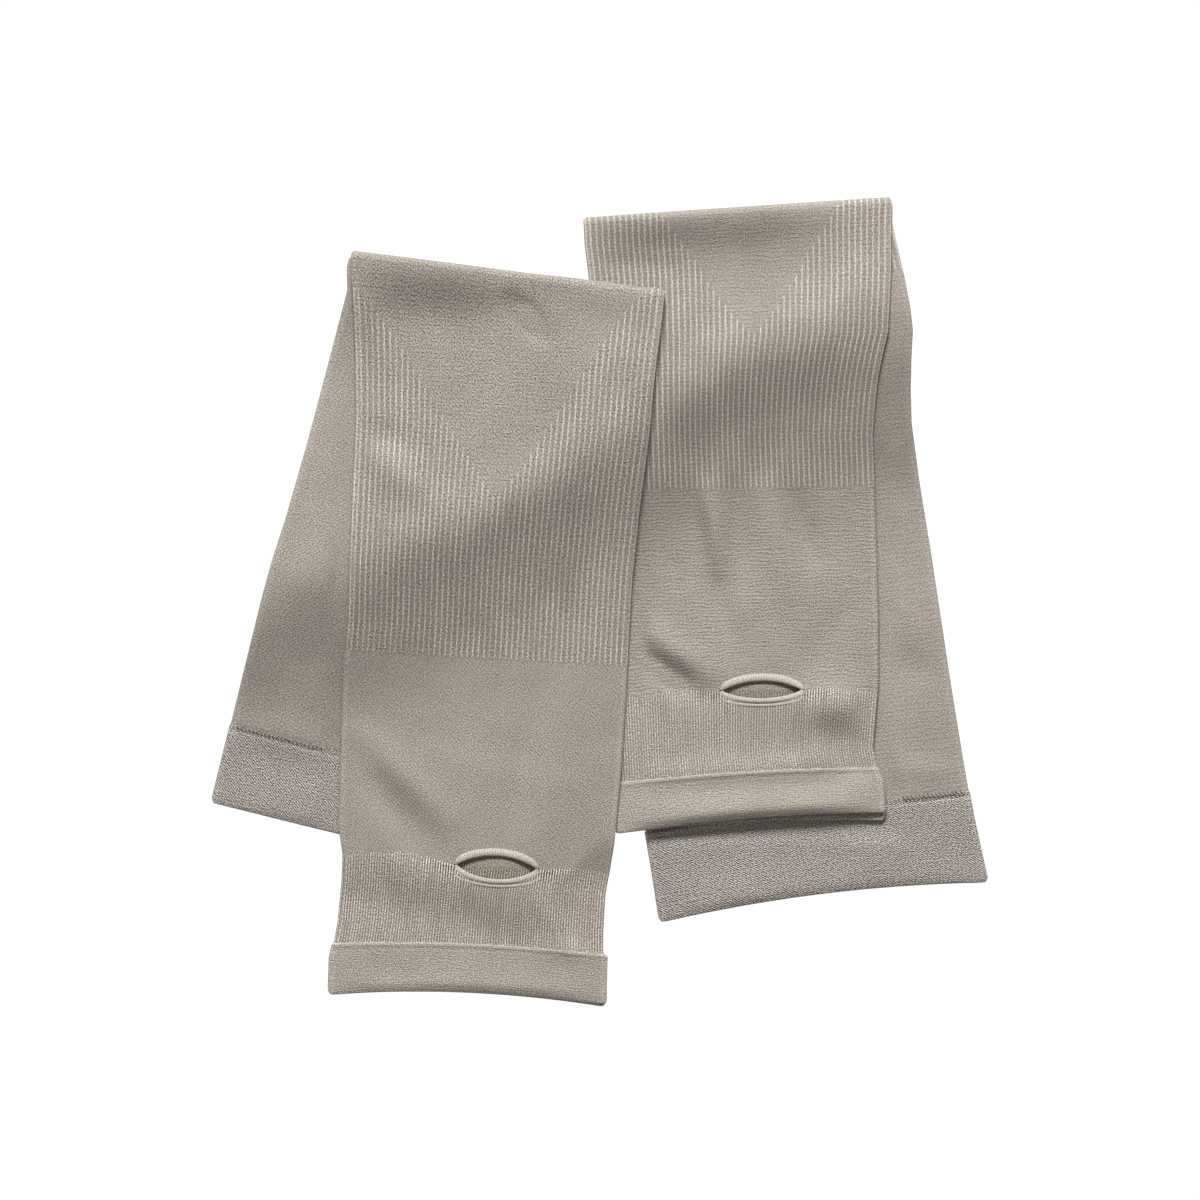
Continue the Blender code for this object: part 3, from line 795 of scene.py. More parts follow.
def stretch(ring_at, outer, inner, rows, inner_rows):
    """A closed shell along the rows of a half."""
    outer_rings = [ring_at(outer, row) for row in rows]
    inner_rings = [ring_at(inner, row) for row in inner_rows]
    return walled(outer_rings, outer, inner_rings, inner, rows[0], rows[-1])


def band_faces():
    """The outer and the inner face of a doubled band."""
    sides = plain_sides(PLAIN_STEP)
    return tube_ring(sides, sides, BAND / 2, BAND), tube_ring(sides, sides, SLIT / 2, BAND)


# ---- The pieces of cloth ----


def forearm(sleeve):
    """The ribbed stretch, from the plain wrist up to the fold and over it."""
    top = ribbed_sides(RIBS, RIB_PHASES)
    under = plain_sides(COARSE_STEP)
    outer = tube_ring(top, under, TUBE / 2, TUBE, RIB_HEIGHT * rib_profile(top, RIBS))
    inner = tube_ring(under, under, SLIT / 2, TUBE)
    rib = sleeve.rib_strength
    rows = steps(sleeve.zones.rib_end, TURN_OUT, ROW)
    inner_rows = steps(sleeve.zones.rib_end, TURN_OUT, COARSE_STEP)
    turns = [math.pi * step / TURN_STEPS for step in range(1, TURN_STEPS + 1)]
    outer_rings = [hand_ring(sleeve, outer, row, rib) for row in rows]
    outer_rings += [turn_ring(sleeve, outer, angle, rib) for angle in turns]
    inner_rings = [hand_ring(sleeve, inner, row, rib) for row in inner_rows]
    inner_rings += [turn_ring(sleeve, inner, angle, rib) for angle in turns]
    return walled(outer_rings, outer, inner_rings, inner, rows[0], -TURN_OUT)


def hole_columns(sleeve, sides, closest):
    """The columns of a wall with half the thumb hole: the plain ones, with closer ones at the hole."""
    left, right = sleeve.hand.edges(sleeve.hole.down)
    half_width = (right - left - TUBE) / 2
    middle = (sleeve.hole.across - (left + right) / 2) / half_width
    reach = (sleeve.hole.half_length + LIP_END) / half_width
    near = list(middle + reach * np.sin(np.linspace(-math.pi / 2, math.pi / 2, closest)))
    far = [side for side in sides if abs(side - middle) > reach * HOLE_CLEAR]
    return sorted(near + far)


def wrist(sleeve):
    """The plain stretch, from the ribs to the thumb hole's middle."""
    top = hole_columns(sleeve, plain_sides(PLAIN_STEP), HOLE_COLUMNS)
    inner_top = hole_columns(sleeve, plain_sides(COARSE_STEP), HOLE_INNER_COLUMNS)
    under = plain_sides(COARSE_STEP)
    outer = tube_ring(top, under, TUBE / 2, TUBE)
    inner = tube_ring(inner_top, under, SLIT / 2, TUBE)
    start, end = sleeve.zones.rib_end, sleeve.hole.down - HOLE_GAP

    def ring_at(ring, row):
        return hand_ring(sleeve, ring, row)

    return stretch(ring_at, outer, inner, steps(start, end, ROW), steps(start, end, COARSE_STEP))


def palm(sleeve):
    """The fine-ribbed cuff, from the thumb hole's middle to the hem."""
    top = ribbed_sides(CUFF_RIBS, CUFF_PHASES)
    inner_top = hole_columns(sleeve, plain_sides(COARSE_STEP), HOLE_INNER_COLUMNS)
    under = plain_sides(COARSE_STEP)
    outer = tube_ring(top, under, TUBE / 2, TUBE, CUFF_RIB_HEIGHT * cuff_profile(top, CUFF_RIBS))
    inner = tube_ring(inner_top, under, SLIT / 2, TUBE)
    start, end = sleeve.hole.down, sleeve.zones.hem + BAND_WALL / 2
    rows = steps(start, start + NEAR_HOLE, NEAR_HOLE_ROW)[:-1] + steps(start + NEAR_HOLE, end, ROW)

    def ring_at(ring, row):
        return hand_ring(sleeve, ring, row, sleeve.cuff_strength)

    return stretch(ring_at, outer, inner, rows, steps(start, end, COARSE_STEP))


def turned_band(ring_at, outer, inner, start, end):
    """A doubled band, rounded at both ends: its outer face, its open end, its inner face and its start."""
    radius = BAND_WALL / 2
    turns = [math.pi * step / END_STEPS for step in range(1, END_STEPS)]
    near_start = steps(start + radius, start + BEAD_STRETCH, BEAD_ROW)
    rows = near_start[:-1] + steps(near_start[-1], end - radius, ROW)
    rings = [ring_at(outer, row) for row in rows]
    for turn in turns:
        share = (1 - math.cos(turn)) / 2
        rings.append(ring_at(between(outer, inner, share), end - radius + radius * math.sin(turn)))
    inner_rings = [ring_at(inner, row) for row in reversed(steps(start + radius, end - radius, COARSE_STEP))]
    # the band's inner faces get the inside's darker tone, partly painted shade in the open end's slit
    inside = [0.0] * len(rings) + [1.0] * len(inner_rings) + [0.0] * len(turns)
    rings += inner_rings
    for turn in turns:
        share = (1 + math.cos(turn)) / 2
        rings.append(ring_at(between(outer, inner, share), start + radius - radius * math.sin(turn)))
    shell = Shell()
    shell.add_rings(rings, outer, inside, closed=True)
    return shell


def bead(from_start, rise, dip):
    """The raised line along the start of a band, and the groove beside it."""
    raised = rise * bell((from_start - BEAD_AT) / BEAD_WIDTH)
    return raised - dip * bell((from_start - GROOVE_AT) / GROOVE_WIDTH)


def bead_highlight_and_shade(from_start, ring):
    """How much painted highlight the raised line gets in a ring's finish, less the painted shade in the
    groove beside it.
    """
    return np.full(len(ring.side), bead(from_start, 1.0, GROOVE_PAINTED_SHADE))


def seam_mark(from_start, ring):
    """The painted shade in a line under an arm band's stitches, and the light line along it."""
    painted_shade = SEAM_PAINTED_SHADE * bell((from_start - SEAM_AT) / SEAM_WIDTH)
    return np.full(len(ring.side), bell((from_start - LINE_AT) / LINE_WIDTH) - painted_shade)


def hem(sleeve):
    """The doubled hem at the hand end."""
    start = sleeve.zones.hem

    def ring_at(ring, row):
        raised = bead(row - start, HEM_BEAD, HEM_GROOVE) * (ring.depth > BAND / 2 + SLIT)
        points, knit_down, _ = hand_ring(sleeve, ring, row, band_rise=raised)
        return points, knit_down - start, bead_highlight_and_shade(row - start, ring)

    return turned_band(ring_at, *band_faces(), start, sleeve.hand.end)


def upper_arm(sleeve):
    """The plain stretch behind the fold. The right sleeve's ribs run on into it a little."""

    def rib(down, across):
        return smooth((sleeve.carries_on - down) / RIB_START) + 0 * across

    def ring_at(ring, row):
        return arm_ring(sleeve, ring, row, TUBE, rib)

    under = plain_sides(PLAIN_STEP)
    if sleeve.carries_on:
        under = plain_sides(PLAIN_STEP, -1.0, CARRY_FROM)[:-1] + ribbed_sides(RIBS, RIB_PHASES, CARRY_FROM)
    top = plain_sides(COARSE_STEP)
    crest = RIB_HEIGHT * rib_profile(under, RIBS) * (np.array(under) > CARRY_FROM)
    outer = tube_ring(top, under, TUBE / 2, TUBE, under_crest=crest)
    inner = tube_ring(top, top, SLIT / 2, TUBE)
    end = sleeve.arm.band + BAND_WALL / 2
    return stretch(ring_at, outer, inner, steps(TURN_OUT, end, ROW), steps(TURN_OUT, end, COARSE_STEP))


def arm_band(sleeve):
    """The doubled band at the arm end."""
    start = sleeve.arm.band

    def ring_at(ring, row):
        points, knit_down, _ = arm_ring(sleeve, ring, row, BAND)
        points[:, 2] += bead(row - start, BAND_BEAD, BAND_GROOVE) * (ring.depth < BAND / 2 - SLIT)
        return points, knit_down - start, seam_mark(row - start, ring)

    return turned_band(ring_at, *band_faces(), start, sleeve.arm.end)


def band_stitches(sleeve):
    """The leaning stitches over the arm band's seam, on the wall that shows."""
    half = sleeve.arm
    left, right = half.edges(half.band)
    count = round((right - left) / STITCH_SPACING)
    sides = np.linspace(-1, 1, count + 2)[1:-1]
    flat = np.zeros_like(sides)
    shell = Shell()
    rows = []
    for share in np.linspace(0, 1, STITCH_RINGS):
        leaning = Ring(sides + STITCH_LEAN * (2 * share - 1), flat, flat, flat, flat, flat, flat)
        row = half.band + STITCH_FROM + (STITCH_TO - STITCH_FROM) * share
        points, _, _ = arm_ring(sleeve, leaning, row, TUBE)
        rise = BAND_EXTRA * smooth((row - half.band + 0.5) / 1.0)
        points[:, 2] += rise + STITCH_LIFT
        rows.append(points)
    rows = np.array(rows)
    shows = sleeve.free(half, rows[0, :, 0], rows[0, :, 1]) > 0.5
    round_it = np.linspace(0, 2 * math.pi, STITCH_SIDES, endpoint=False)
    across_axis = np.append(half.across_axis, 0.0)
    for stitch in np.flatnonzero(shows):
        rings = []
        for share, centre in zip(np.linspace(0, 1, STITCH_RINGS), rows[:, stitch]):
            radius = STITCH_RADIUS * (STITCH_TIP + (1 - STITCH_TIP) * math.sin(math.pi * share))
            ring = [centre + radius * (math.cos(a) * across_axis + math.sin(a) * UP) for a in round_it]
            rings.append(ring)
        shell.add_tube(np.array(rings))
    return shell


# ---- The thumb hole's rolled edge ----


def oval_place(hole, oval, turn):
    """A point of a half oval along the hole, across and down from the hole's middle."""
    across = (hole.half_length + oval.reach) * math.cos(turn)
    return np.array([across, oval.height * math.sin(turn) ** oval.power])


def roll(sleeve, inner_oval, outer_oval, up, turns):
    """A closed roll of cloth between two curves, which taper together at the hole's corners."""
    hole = sleeve.hole
    half = sleeve.hand
    rings = []
    for turn in turns:
        inner, outer = oval_place(hole, inner_oval, turn), oval_place(hole, outer_oval, turn)
        ring = []
        for corner in range(ROLL_SIDES):
            angle = 2 * math.pi * corner / ROLL_SIDES
            across, down = inner + (outer - inner) * (0.5 + 0.5 * math.cos(angle))
            at_down = np.array([hole.down + down])
            at_across = np.array([hole.across + across])
            x, y = half.place(at_down, at_across, 0.0)
            side = at_across / half.edges(hole.down)[1]
            cloth = sleeve.floor(x, y) + sleeve.arm.rise(x, y) + TUBE
            cloth = cloth + sleeve.hand_lift(x, y, side, at_down, at_across)
            thick = up * (ROLL_TAPER + (1 - ROLL_TAPER) * math.sin(turn) ** 0.5)
            ring.append((x[0], y[0], cloth[0] - ROLL_SINK + thick * (0.5 + 0.5 * math.sin(angle))))
        rings.append(ring)
    return np.array(rings)


def thumb_edge(sleeve):
    """A broad roll over the hole, and below it a narrower one with a thin cord along its outside."""
    above, below = sleeve.hole.above, sleeve.hole.below
    turns = np.linspace(ROLL_START, math.pi - ROLL_START, ROLL_ALONG)
    shell = Shell()
    for inner, outer, height in (
        (Oval(-above, 1.9, 0), Oval(-above - UPPER_ROLL, 0.95, 1.2), LIP_HEIGHT),
        (Oval(below, 1.6, 0), Oval(below + LOWER_ROLL, 0.8, 1.0), LIP_HEIGHT),
        (Oval(below + CORD_FROM, 0.75, 1.2), Oval(below + CORD_TO, 0.65, 2.0), CORD_HEIGHT),
    ):
        shell.add_tube(roll(sleeve, inner, outer, height, turns))
    return shell


# ---- Finishes ----

# How unevenly the knit lies, in millimetres: sizes are widths across and heights down.
JITTER = 2.4
JITTER_SIZE = (2.2, 2.2)
SWAY = 1.8
SWAY_SIZE = (7.0, 3.0)
BREAKS = 1.6
BREAK_SIZE = (4.0, 1.2)
SPOT_RANGE = (0.3, 0.7)
BLOTCHES = 0.1
RIB_WANDER = 0.2
WANDER_NOISE = (7.3, 1.1)  # how fast it changes from rib to rib, and how long it is along one
FADE_NOISE = (0.35, 14.0)
GRAIN_RELIEF = 0.0002  # in metres
EDGE_FADE = 1.6  # how far the painted highlight along the tube's folded edges reaches in
DOT_SPACING = 1.31  # the dots of painted shade between an arm band's stitches
DOT_EDGE = 0.6
DOT_PAINTED_SHADE = (0.1, 1.3)


class Value:
    """A number that a shader works out, for plain operators to go on with."""

    def __init__(self, tree, source):
        self.tree = tree
        self.source = source

    def maths(self, operation, *others):
        node = self.tree.nodes.new("ShaderNodeMath")
        node.operation = operation
        for socket, value in zip(node.inputs, (self, *others)):
            fill(socket, value)
        return Value(self.tree, node.outputs[0])

    def __add__(self, other):
        return self.maths("ADD", other)

    def __sub__(self, other):
        return self.maths("SUBTRACT", other)

    def __mul__(self, other):
        return self.maths("MULTIPLY", other)

    def __truediv__(self, other):
        return self.maths("DIVIDE", other)


def fill(socket, value):
    """Wires a value to a socket, or sets a number there."""
    if isinstance(value, Value):
        value.tree.links.new(value.source, socket)
    else:
        socket.default_value = value


def filled(tree, node, inputs):
    """A node's outputs in order, once some of its inputs are filled."""
    for name, value in inputs.items():
        fill(node.inputs[name.replace("_", " ")], value)
    return [Value(tree, output) for output in node.outputs]


def add_node(tree, kind, **inputs):
    return filled(tree, tree.nodes.new(kind), inputs)


def in_range(value, low, high, to_low=0.0, to_high=1.0):
    """A soft step from one number to another."""
    node = value.tree.nodes.new("ShaderNodeMapRange")
    node.interpolation_type = "SMOOTHSTEP"
    inputs = dict(Value=value, From_Min=low, From_Max=high, To_Min=to_low, To_Max=to_high)
    return filled(value.tree, node, inputs)[0]


def flat_noise(x, y, scale=1.0, detail=1.0, roughness=0.5):
    """A noise around 0.5 over a plane."""
    spot = add_node(x.tree, "ShaderNodeCombineXYZ", X=x, Y=y)[0]
    node = x.tree.nodes.new("ShaderNodeTexNoise")
    node.noise_dimensions = "2D"
    return filled(x.tree, node, dict(Vector=spot, Scale=scale, Detail=detail, Roughness=roughness))[0]


def new_group(name, inputs, outputs):
    """A node group of numbers. Returns its tree, its inputs by name and its output node's sockets."""
    tree = bpy.data.node_groups.new(name, "ShaderNodeTree")
    for label, default in inputs.items():
        socket = tree.interface.new_socket(name=label, in_out="INPUT", socket_type="NodeSocketFloat")
        socket.default_value = default
    for label in outputs:
        tree.interface.new_socket(name=label, in_out="OUTPUT", socket_type="NodeSocketFloat")
    given = tree.nodes.new("NodeGroupInput").outputs
    ends = tree.nodes.new("NodeGroupOutput").inputs
    return tree, {label: Value(tree, given[label]) for label in inputs}, ends


def knit_place_group():
    """Where a point lies on the knit: across and down in millimetres, how ribbed it is, whether it is inside,
    and how near it is to one of the tube's folded edges, which get a painted highlight."""
    tree, _, ends = new_group("knit place", {}, ("Across", "Down", "Ribbed", "Inside", "Edge"))

    def map_parts(map_name):
        source = tree.nodes.new("ShaderNodeUVMap")
        source.uv_map = map_name
        return add_node(tree, "ShaderNodeSeparateXYZ", Vector=Value(tree, source.outputs["UV"]))[:2]

    across, down = map_parts("knit")
    # On the bands the ribbed channel carries their light lines and the painted shade in their grooves and
    # seams; on the hem the light line is a painted highlight.
    ribbed, inside = map_parts("zone")
    half_edge = math.pi * TUBE / 4
    wall = NOMINAL_HALF + half_edge
    from_edge = (across + wall).maths("PINGPONG", wall)
    # the mask of the painted highlight along the folded edges
    edge = in_range(from_edge, half_edge, half_edge + EDGE_FADE, 1.0, 0.0)
    for socket, value in zip(ends, (across, down, ribbed, inside, edge)):
        fill(socket, value)
    return tree


def grain_group():
    """The uneven grain of small stitches: spots, a lattice of loops, rows and slanting lines."""
    inputs = {
        "Across": 0.0, "Down": 0.0, "Spots": 0.7, "Spot": 0.45, "Loops": 0.35, "Loop": 1.5,
        "Rows": 0.0, "Row": 1.22, "Twills": 0.0, "Twill Across": 1.05, "Twill Down": 0.9,
    }
    tree, given, ends = new_group("stitch grain", inputs, ["Grain"])
    across, down = given["Across"], given["Down"]

    def noise(width, height):
        """A noise around 0.5 whose spots are this wide and high."""
        return flat_noise(across / width, down / height)

    def wave(turns):
        return (turns * (2 * math.pi)).maths("SINE")

    jitter = noise(*JITTER_SIZE)
    spots = in_range(noise(given["Spot"], given["Spot"]), *SPOT_RANGE) - 0.5
    columns = wave((across + jitter * JITTER) / given["Loop"])
    courses = wave((down + jitter * (JITTER / 2)) / given["Loop"])
    rows = wave((down + noise(*SWAY_SIZE) * SWAY) / given["Row"])
    strength = noise(*BREAK_SIZE) * BREAKS + (1 - BREAKS / 2)
    slanting = (across + jitter * (JITTER / 4)) / given["Twill Across"] + down / given["Twill Down"]
    grain = spots * given["Spots"] + 0.5
    for part, amount in ((columns * courses, "Loops"), (rows * strength, "Rows"), (wave(slanting), "Twills")):
        grain = grain + part * (given[amount] * 0.5)
    fill(ends["Grain"], grain)
    return tree


def rib_line_group():
    """1 along the middle of each rib, and 0 in the valleys between."""
    inputs = {"Across": 0.0, "Down": 0.0, "Ribs": float(RIBS), "Width": 0.2, "Wander": 0.0, "Fade": 0.0}
    tree, given, ends = new_group("rib lines", inputs, ["Crest"])
    place = (given["Across"] + NOMINAL_HALF) / (2 * NOMINAL_HALF) * given["Ribs"]
    number = place.maths("FLOOR")

    def along(per_rib, length):
        """A noise that changes from rib to rib, and slowly along each, around 0."""
        return flat_noise(number * per_rib, given["Down"] / length) - 0.5

    pushed = along(*WANDER_NOISE) * given["Wander"] + place.maths("FRACT")
    away = (pushed - 0.5).maths("ABSOLUTE") / given["Width"]
    strength = along(*FADE_NOISE) * given["Fade"] + 1.0
    fill(ends["Crest"], (away * away * -1.0).maths("EXPONENT") * strength)
    return tree


def blotch_group():
    """Slow changes of the dye over the cloth, around 1."""
    inputs = {"Across": 0.0, "Down": 0.0, "Amount": 0.0}
    tree, given, ends = new_group("dye blotches", inputs, ["Factor"])
    slow = flat_noise(given["Across"], given["Down"], scale=0.06, detail=2.0, roughness=0.6)
    fill(ends["Factor"], (slow - 0.5) * (given["Amount"] * 2.0) + 1.0)
    return tree


GROUPS = {
    "place": knit_place_group(),
    "grain": grain_group(),
    "ribs": rib_line_group(),
    "blotches": blotch_group(),
}


def use_group(tree, name, **inputs):
    node = tree.nodes.new("ShaderNodeGroup")
    node.node_tree = GROUPS[name]
    return filled(tree, node, inputs)


def lighten(shade, mask, amount):
    """The shade made lighter by an amount where the mask is 1, or darker where the amount is below 0."""
    return shade * (mask * amount + 1.0)


def knit(name, colour, grain, contrast=0.55, ribs=0, rib_width=0.15, crest_tone_and_highlight=0.6, valley_tone_and_shade=0.16,
         rib_fade=1.2, line_light_and_shade=0.0, painted_edge_highlight=0.12):
    """A knitted finish: grain in its colour and relief; ribs lighter on their crests and darker between,
    partly their own tone and partly painted highlight and shade; light lines along the bands, the hem's a
    painted highlight, with painted shade in the grooves and under the stitches; a painted highlight along
    folded edges;
    and a darker inside, partly painted shade.
    """
    look = new_look(name)
    tree = look.node_tree
    shader = tree.nodes["Principled BSDF"]
    across, down, ribbed, inside, edge = use_group(tree, "place")
    grains = use_group(tree, "grain", Across=across, Down=down, **grain)[0]
    blotch = use_group(tree, "blotches", Across=across, Down=down, Amount=BLOTCHES)[0]
    shade = (grains * (2 * contrast) + (1 - contrast)) * blotch
    if ribs:
        crest = use_group(
            tree, "ribs", Across=across, Down=down, Ribs=float(ribs), Width=rib_width, Wander=RIB_WANDER,
            Fade=rib_fade,
        )[0]
        # rib crests lighter and valleys darker: partly the yarn's own tone, partly painted highlight on the
        # crests and painted shade in the valleys
        shade = lighten(shade, (crest * (crest_tone_and_highlight + valley_tone_and_shade) - valley_tone_and_shade) * ribbed, 1.0)
    # painted shade in the groove beside the hem's raised line and in dots under the arm band's stitches; a
    # painted highlight on the hem's raised line, and the light line along the arm band's seam
    if line_light_and_shade:
        dots = (across * (2 * math.pi / DOT_SPACING)).maths("SINE")
        painted_shade = ribbed.maths("MINIMUM", 0.0) * in_range(dots, -DOT_EDGE, DOT_EDGE, *DOT_PAINTED_SHADE)
        shade = lighten(shade, ribbed.maths("MAXIMUM", 0.0) + painted_shade, line_light_and_shade)
    # a painted highlight along the tube's folded edges
    shade = lighten(shade, edge, painted_edge_highlight)
    wales = use_group(tree, "ribs", Across=across, Ribs=float(CUFF_RIBS), Width=INSIDE_STRIPE_WIDTH)[0]
    # the inside darker: partly the knit's own tone, partly painted shade inside the thumb hole and the bands'
    # slits
    shade = lighten(shade, (wales * INSIDE_STRIPE + (INSIDE_TONE_AND_PAINTED_SHADE - 1)) * inside, 1.0)
    tint = tree.nodes.new("ShaderNodeMix")
    tint.data_type = "RGBA"
    fill(tint.inputs["Factor"], inside)
    tint.inputs["A"].default_value = (*colour, 1)
    tint.inputs["B"].default_value = (*(part * warm for part, warm in zip(colour, INSIDE_TINT)), 1)
    tinted = tree.nodes.new("ShaderNodeVectorMath")
    tinted.operation = "SCALE"
    fill(tinted.inputs[0], Value(tree, tint.outputs["Result"]))
    fill(tinted.inputs["Scale"], shade)
    fill(shader.inputs["Base Color"], Value(tree, tinted.outputs[0]))
    bump = add_node(tree, "ShaderNodeBump", Strength=1.0, Distance=GRAIN_RELIEF, Height=grains)[0]
    fill(shader.inputs["Normal"], bump)
    shader.inputs["Roughness"].default_value = 0.92
    shader.inputs["Specular IOR Level"].default_value = 0.25
    shader.inputs["Sheen Weight"].default_value = 0.15
    shader.inputs["Sheen Roughness"].default_value = 0.6
    return look


def shaded(colour, factor):
    return tuple(factor * part for part in colour)


TAUPE = (0.325, 0.2925, 0.2516)
BAND_TAUPE = (0.335, 0.304, 0.272)
CUFF_LINES = dict(ribs=CUFF_RIBS, rib_width=0.24, rib_fade=0.8)
LOOKS = {
    "wide_rib_knit": knit(
        "wide rib knit", shaded(TAUPE, 0.95), dict(Rows=0.15, Row=1.38), contrast=0.7, ribs=RIBS,
        crest_tone_and_highlight=0.68, valley_tone_and_shade=0.12,
    ),
    "plain_knit": knit("plain knit", TAUPE, {}),
    "rowed_knit": knit(
        "plain knit with clear rows", TAUPE, dict(Spots=0.7, Loops=0.15, Rows=0.3), contrast=0.58
    ),
    "rowed_rib_knit": knit(
        "wide rib knit with clear rows", shaded(TAUPE, 0.95),
        dict(Spots=0.65, Loops=0.15, Rows=0.18, Row=1.35), contrast=0.55,
        ribs=RIBS, crest_tone_and_highlight=0.74, valley_tone_and_shade=0.12, rib_fade=0.8,
    ),
    "rowed_arm_knit": knit(
        "plain knit with faint rows", TAUPE, dict(Spots=0.65, Loops=0.2, Rows=0.16, Row=1.6), contrast=0.5,
        ribs=RIBS,
    ),
    "cuff_rib_knit": knit(
        "cuff rib knit", shaded(TAUPE, 1.1), dict(Loops=0.0, Rows=0.1), contrast=0.75,
        crest_tone_and_highlight=0.72, valley_tone_and_shade=0.42, **CUFF_LINES,
    ),
    "soft_cuff_knit": knit(
        "cuff rib knit, softer", shaded(TAUPE, 1.04), dict(Loops=0.0, Rows=0.1), contrast=0.74,
        crest_tone_and_highlight=0.52, valley_tone_and_shade=0.3, **CUFF_LINES,
    ),
    # the hem a lighter copy of the taupe: partly the doubled band's own tone, partly painted light on its
    # raised band
    "hem_knit": knit(
        "hem knit", shaded(TAUPE, 1.15),
        dict(Spots=0.7, Loops=0.0, Rows=0.22, Row=0.92, Twills=0.25, Twill_Across=-1.1), contrast=0.64,
        line_light_and_shade=0.12,
    ),
    "rolled_edge": knit(
        "rolled edge", shaded(TAUPE, 1.65), dict(Loops=0.0, Twills=0.28, Twill_Across=0.9, Twill_Down=40.0),
        painted_edge_highlight=0.0, contrast=0.45,
    ),
    "band_knit": knit(
        "band knit", BAND_TAUPE, dict(Spots=0.8, Loops=0.0, Rows=0.25, Row=0.98, Twills=0.7), contrast=0.85,
        line_light_and_shade=0.28,
    ),
}


# ---- Build ----

# How each piece is made, the slot name of its finish on the left sleeve, and its finish on the right sleeve.
# The rows of stitches show more clearly there, where the cloth is stretched less.
Piece = namedtuple("Piece", "make slot right_look")
PIECES = {
    "forearm": Piece(forearm, "wide_rib_knit", "rowed_rib_knit"),
    "wrist": Piece(wrist, "plain_knit", "rowed_knit"),
    "palm": Piece(palm, "cuff_rib_knit", "soft_cuff_knit"),
    "hem": Piece(hem, "hem_knit", "hem_knit"),
    "thumb_edge": Piece(thumb_edge, "rolled_edge", "rolled_edge"),
    "upper_arm": Piece(upper_arm, "plain_knit", "rowed_arm_knit"),
    "arm_band": Piece(arm_band, "band_knit", "band_knit"),
    "band_stitches": Piece(band_stitches, "band_knit", "band_knit"),
}

Cut = namedtuple("Cut", "half row length goes_with")


def cuts(sleeve):
    """Each sheet's half, the row where its width is taken, its length, and what goes with it."""
    zones, hole, hand, arm = sleeve.zones, sleeve.hole, sleeve.hand, sleeve.arm
    return {
        "forearm": Cut(hand, 50.0, zones.rib_end, []),
        "wrist": Cut(hand, 140.0, hole.down - zones.rib_end, []),
        "palm": Cut(hand, 185.0, zones.hem - hole.down, ["thumb_edge"]),
        "hem": Cut(hand, hand.end, hand.end - zones.hem, []),
        "upper_arm": Cut(arm, 90.0, arm.band, []),
        "arm_band": Cut(arm, arm.end, arm.end - arm.band, ["band_stitches"]),
    }


for place, sleeve in (("left", left_sleeve), ("right", right_sleeve)):
    made = {}
    for piece_name, (make, slot, right_look) in PIECES.items():
        name = f"{place}_{piece_name}"
        look = LOOKS[right_look if sleeve is right_sleeve else slot]
        piece = make(sleeve).made(name + "_cloth", look)
        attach(piece, "root")
        if piece_name != "band_stitches":
            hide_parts(name)
        made[piece_name] = piece
    for piece_name, cut in cuts(sleeve).items():
        left, right = cut.half.edges(cut.row)
        with_pieces = [made[other] for other in cut.goes_with]

# ---- Table, light and camera ----

TABLE_REACH = 4.0
TABLE_GAP = 0.0001
FOCUS_HEIGHT = 6.0
PHOTO_WIDTH = 417.0  # what the photograph's frame covers on the table
PHOTO_CENTRE = (0.2, 0.3)
LENS = 200.0


def table_top():
    mesh = bpy.data.meshes.new("table_top")
    reach = TABLE_REACH
    corners = [(-reach, -reach, 0), (reach, -reach, 0), (reach, reach, 0), (-reach, reach, 0)]
    mesh.from_pydata(corners, [], [(0, 1, 2, 3)])
    paper = new_look("white paper")
    shader = paper.node_tree.nodes["Principled BSDF"]
    shader.inputs["Base Color"].default_value = (0.93, 0.93, 0.93, 1)
    shader.inputs["Roughness"].default_value = 0.9
    shader.inputs["Specular IOR Level"].default_value = 0.1
    mesh.materials.append(paper)
    top = add_object("table_top", mesh)
    top.location.z = cad_low.z - TABLE_GAP
    return top


def soft_light(name, place, size, watts):
    """A soft window or lamp, turned to the middle of the frame."""
    data = bpy.data.lights.new(name, "AREA")
    data.shape = "RECTANGLE"
    data.size, data.size_y = size
    data.energy = watts
    light = add_object(name, data)
    light.location = place
    light.rotation_euler = (Vector((0, 0, 0)) - Vector(place)).to_track_quat("-Z", "Y").to_euler()
    return light


def lit_by(light, top, only):
    """Keeps a light for the table top alone, with no shadows, or off it."""
    receivers = bpy.data.collections.new(light.name + "_lights")
    receivers.objects.link(top)
    light.light_linking.receiver_collection = receivers
    receivers.collection_objects[0].light_linking.link_state = "INCLUDE" if only else "EXCLUDE"
    if only:
        blockers = bpy.data.collections.new(light.name + "_shadows")
        blockers.objects.link(top)
        light.light_linking.blocker_collection = blockers


def gauze(name, stations, light, heights, clear_share):
    """A strip of gauze between the window and the cloth, out of the camera's sight, to shade it softly."""
    source = np.array(light.location)
    points = []
    for x, upper, lower in stations:
        for y, height in ((upper, heights[0]), (lower, heights[1])):
            on_cloth = np.array([x, y, FOCUS_HEIGHT]) * MM
            points.append(on_cloth + (source - on_cloth) * height * MM / source[2])
    mesh = bpy.data.meshes.new(name)
    faces = [(i, i + 1, i + 3, i + 2) for i in range(0, len(points) - 2, 2)]
    mesh.from_pydata([point.tolist() for point in points], [], faces)
    veil = new_look(name)
    tree = veil.node_tree
    tree.nodes.remove(tree.nodes["Principled BSDF"])
    clear = add_node(tree, "ShaderNodeBsdfTransparent", Color=(clear_share, clear_share, clear_share, 1))[0]
    fill(tree.nodes["Material Output"].inputs["Surface"], clear)
    mesh.materials.append(veil)
    strip = add_object(name, mesh)
    strip.visible_camera = False
    strip.visible_diffuse = False
    strip.visible_glossy = False
    return strip


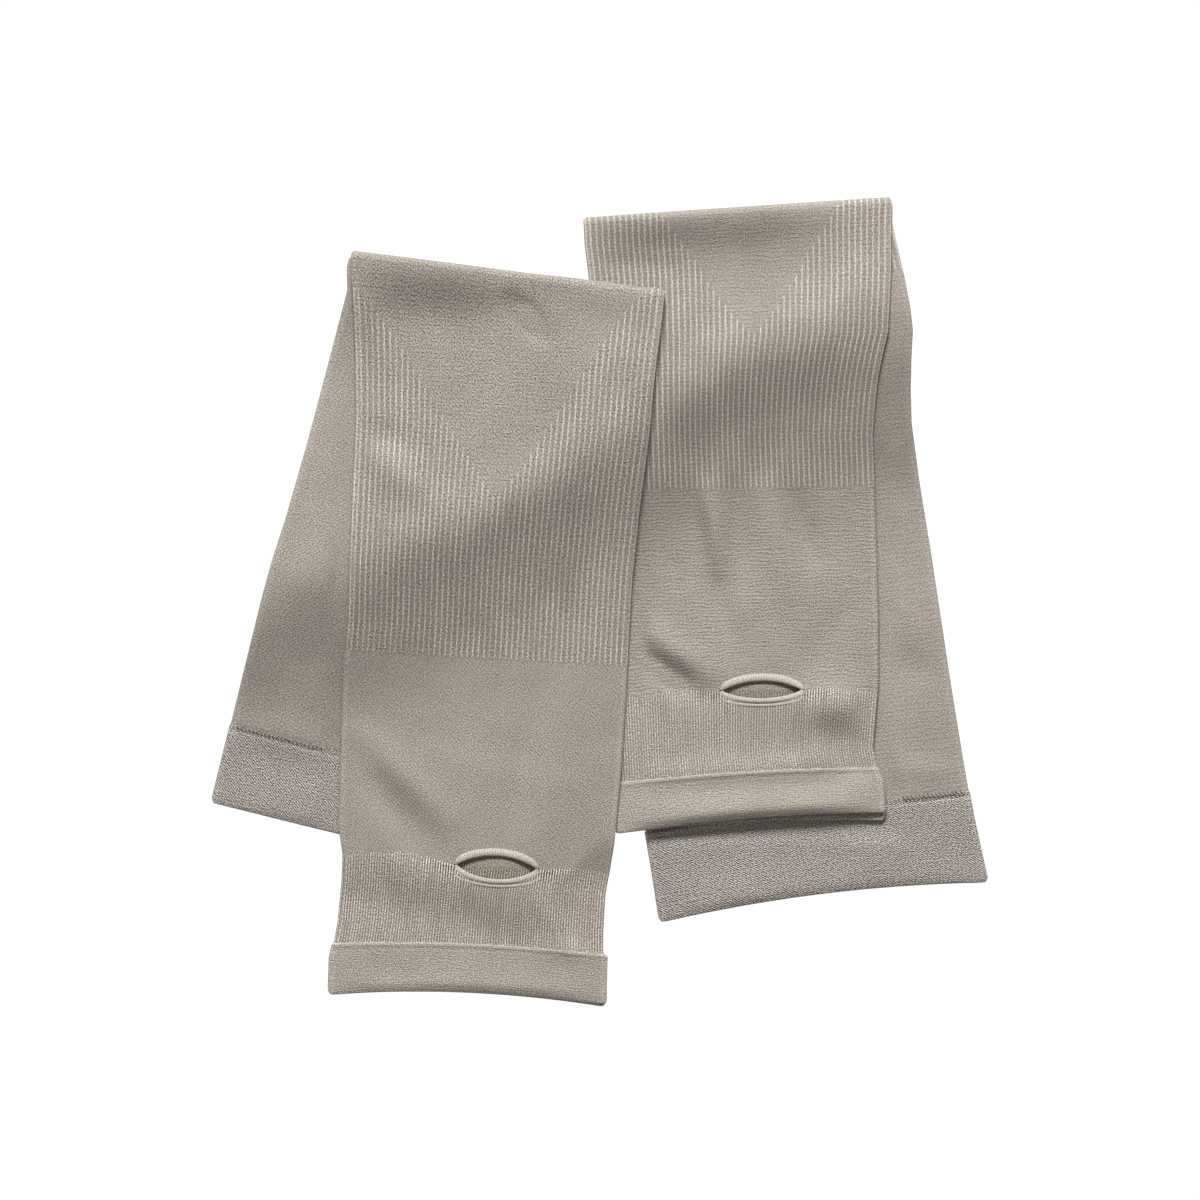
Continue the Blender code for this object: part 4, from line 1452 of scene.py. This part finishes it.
# Where each strip's shade lies on the cloth.
Shade = namedtuple("Shade", "x upper lower")
SHADE_BAND = [
    Shade(-135, 4, -42),
    Shade(-104, 6, -41),
    Shade(-83, 12, -42),
    Shade(-52, 19, -28),
    Shade(-35, 28, -19),
    Shade(-17, 37, -10),
    Shade(5, 50, 4),
    Shade(18, 63, 14),
    Shade(35, 79, 28),
    Shade(70, 89, 32),
    Shade(105, 99, 40),
    Shade(120, 100, 40),
]
LEFT_FOLD_SHADE = [
    Shade(-96, 119, 85),
    Shade(-83, 118, 85),
    Shade(-60, 115, 88),
    Shade(-42, 111, 93),
    Shade(-22, 106, 99),
    Shade(-5, 101, 100),
]
RIGHT_FOLD_SHADE = [
    Shade(-5, 133, 117),
    Shade(10, 133, 116),
    Shade(25, 131, 116),
    Shade(34, 129, 121),
    Shade(45, 131, 121),
    Shade(60, 132, 122),
    Shade(72, 130, 126),
]

top = table_top()
window = soft_light("window", place=(-0.06, 1.22, 1.1), size=(0.45, 0.4), watts=40.5)
table_light = soft_light("table_light", place=(0.0, 0.0, 2.0), size=(1.6, 1.6), watts=42.0)
lit_by(window, top, only=False)
lit_by(table_light, top, only=True)
gauze("gauze", SHADE_BAND, window, heights=(45.0, 65.0), clear_share=0.55)
gauze("left fold gauze", LEFT_FOLD_SHADE, window, heights=(30.0, 48.0), clear_share=0.72)
gauze("right fold gauze", RIGHT_FOLD_SHADE, window, heights=(30.0, 42.0), clear_share=0.72)

world = bpy.data.worlds.new("studio")
world.use_nodes = True
world.node_tree.nodes["Background"].inputs["Color"].default_value = (1, 1, 1, 1)
world.node_tree.nodes["Background"].inputs["Strength"].default_value = 0.3
bpy.context.scene.world = world
bpy.context.scene.view_settings.view_transform = "Standard"

lens = bpy.data.cameras.new("camera")
lens.lens = LENS
lens.sensor_width = 36.0
camera = add_object("camera", lens)
distance = PHOTO_WIDTH * LENS / lens.sensor_width
camera.location = (PHOTO_CENTRE[0] * MM, PHOTO_CENTRE[1] * MM, (FOCUS_HEIGHT + distance) * MM)
bpy.context.scene.camera = camera
lens.clip_end = 20.0
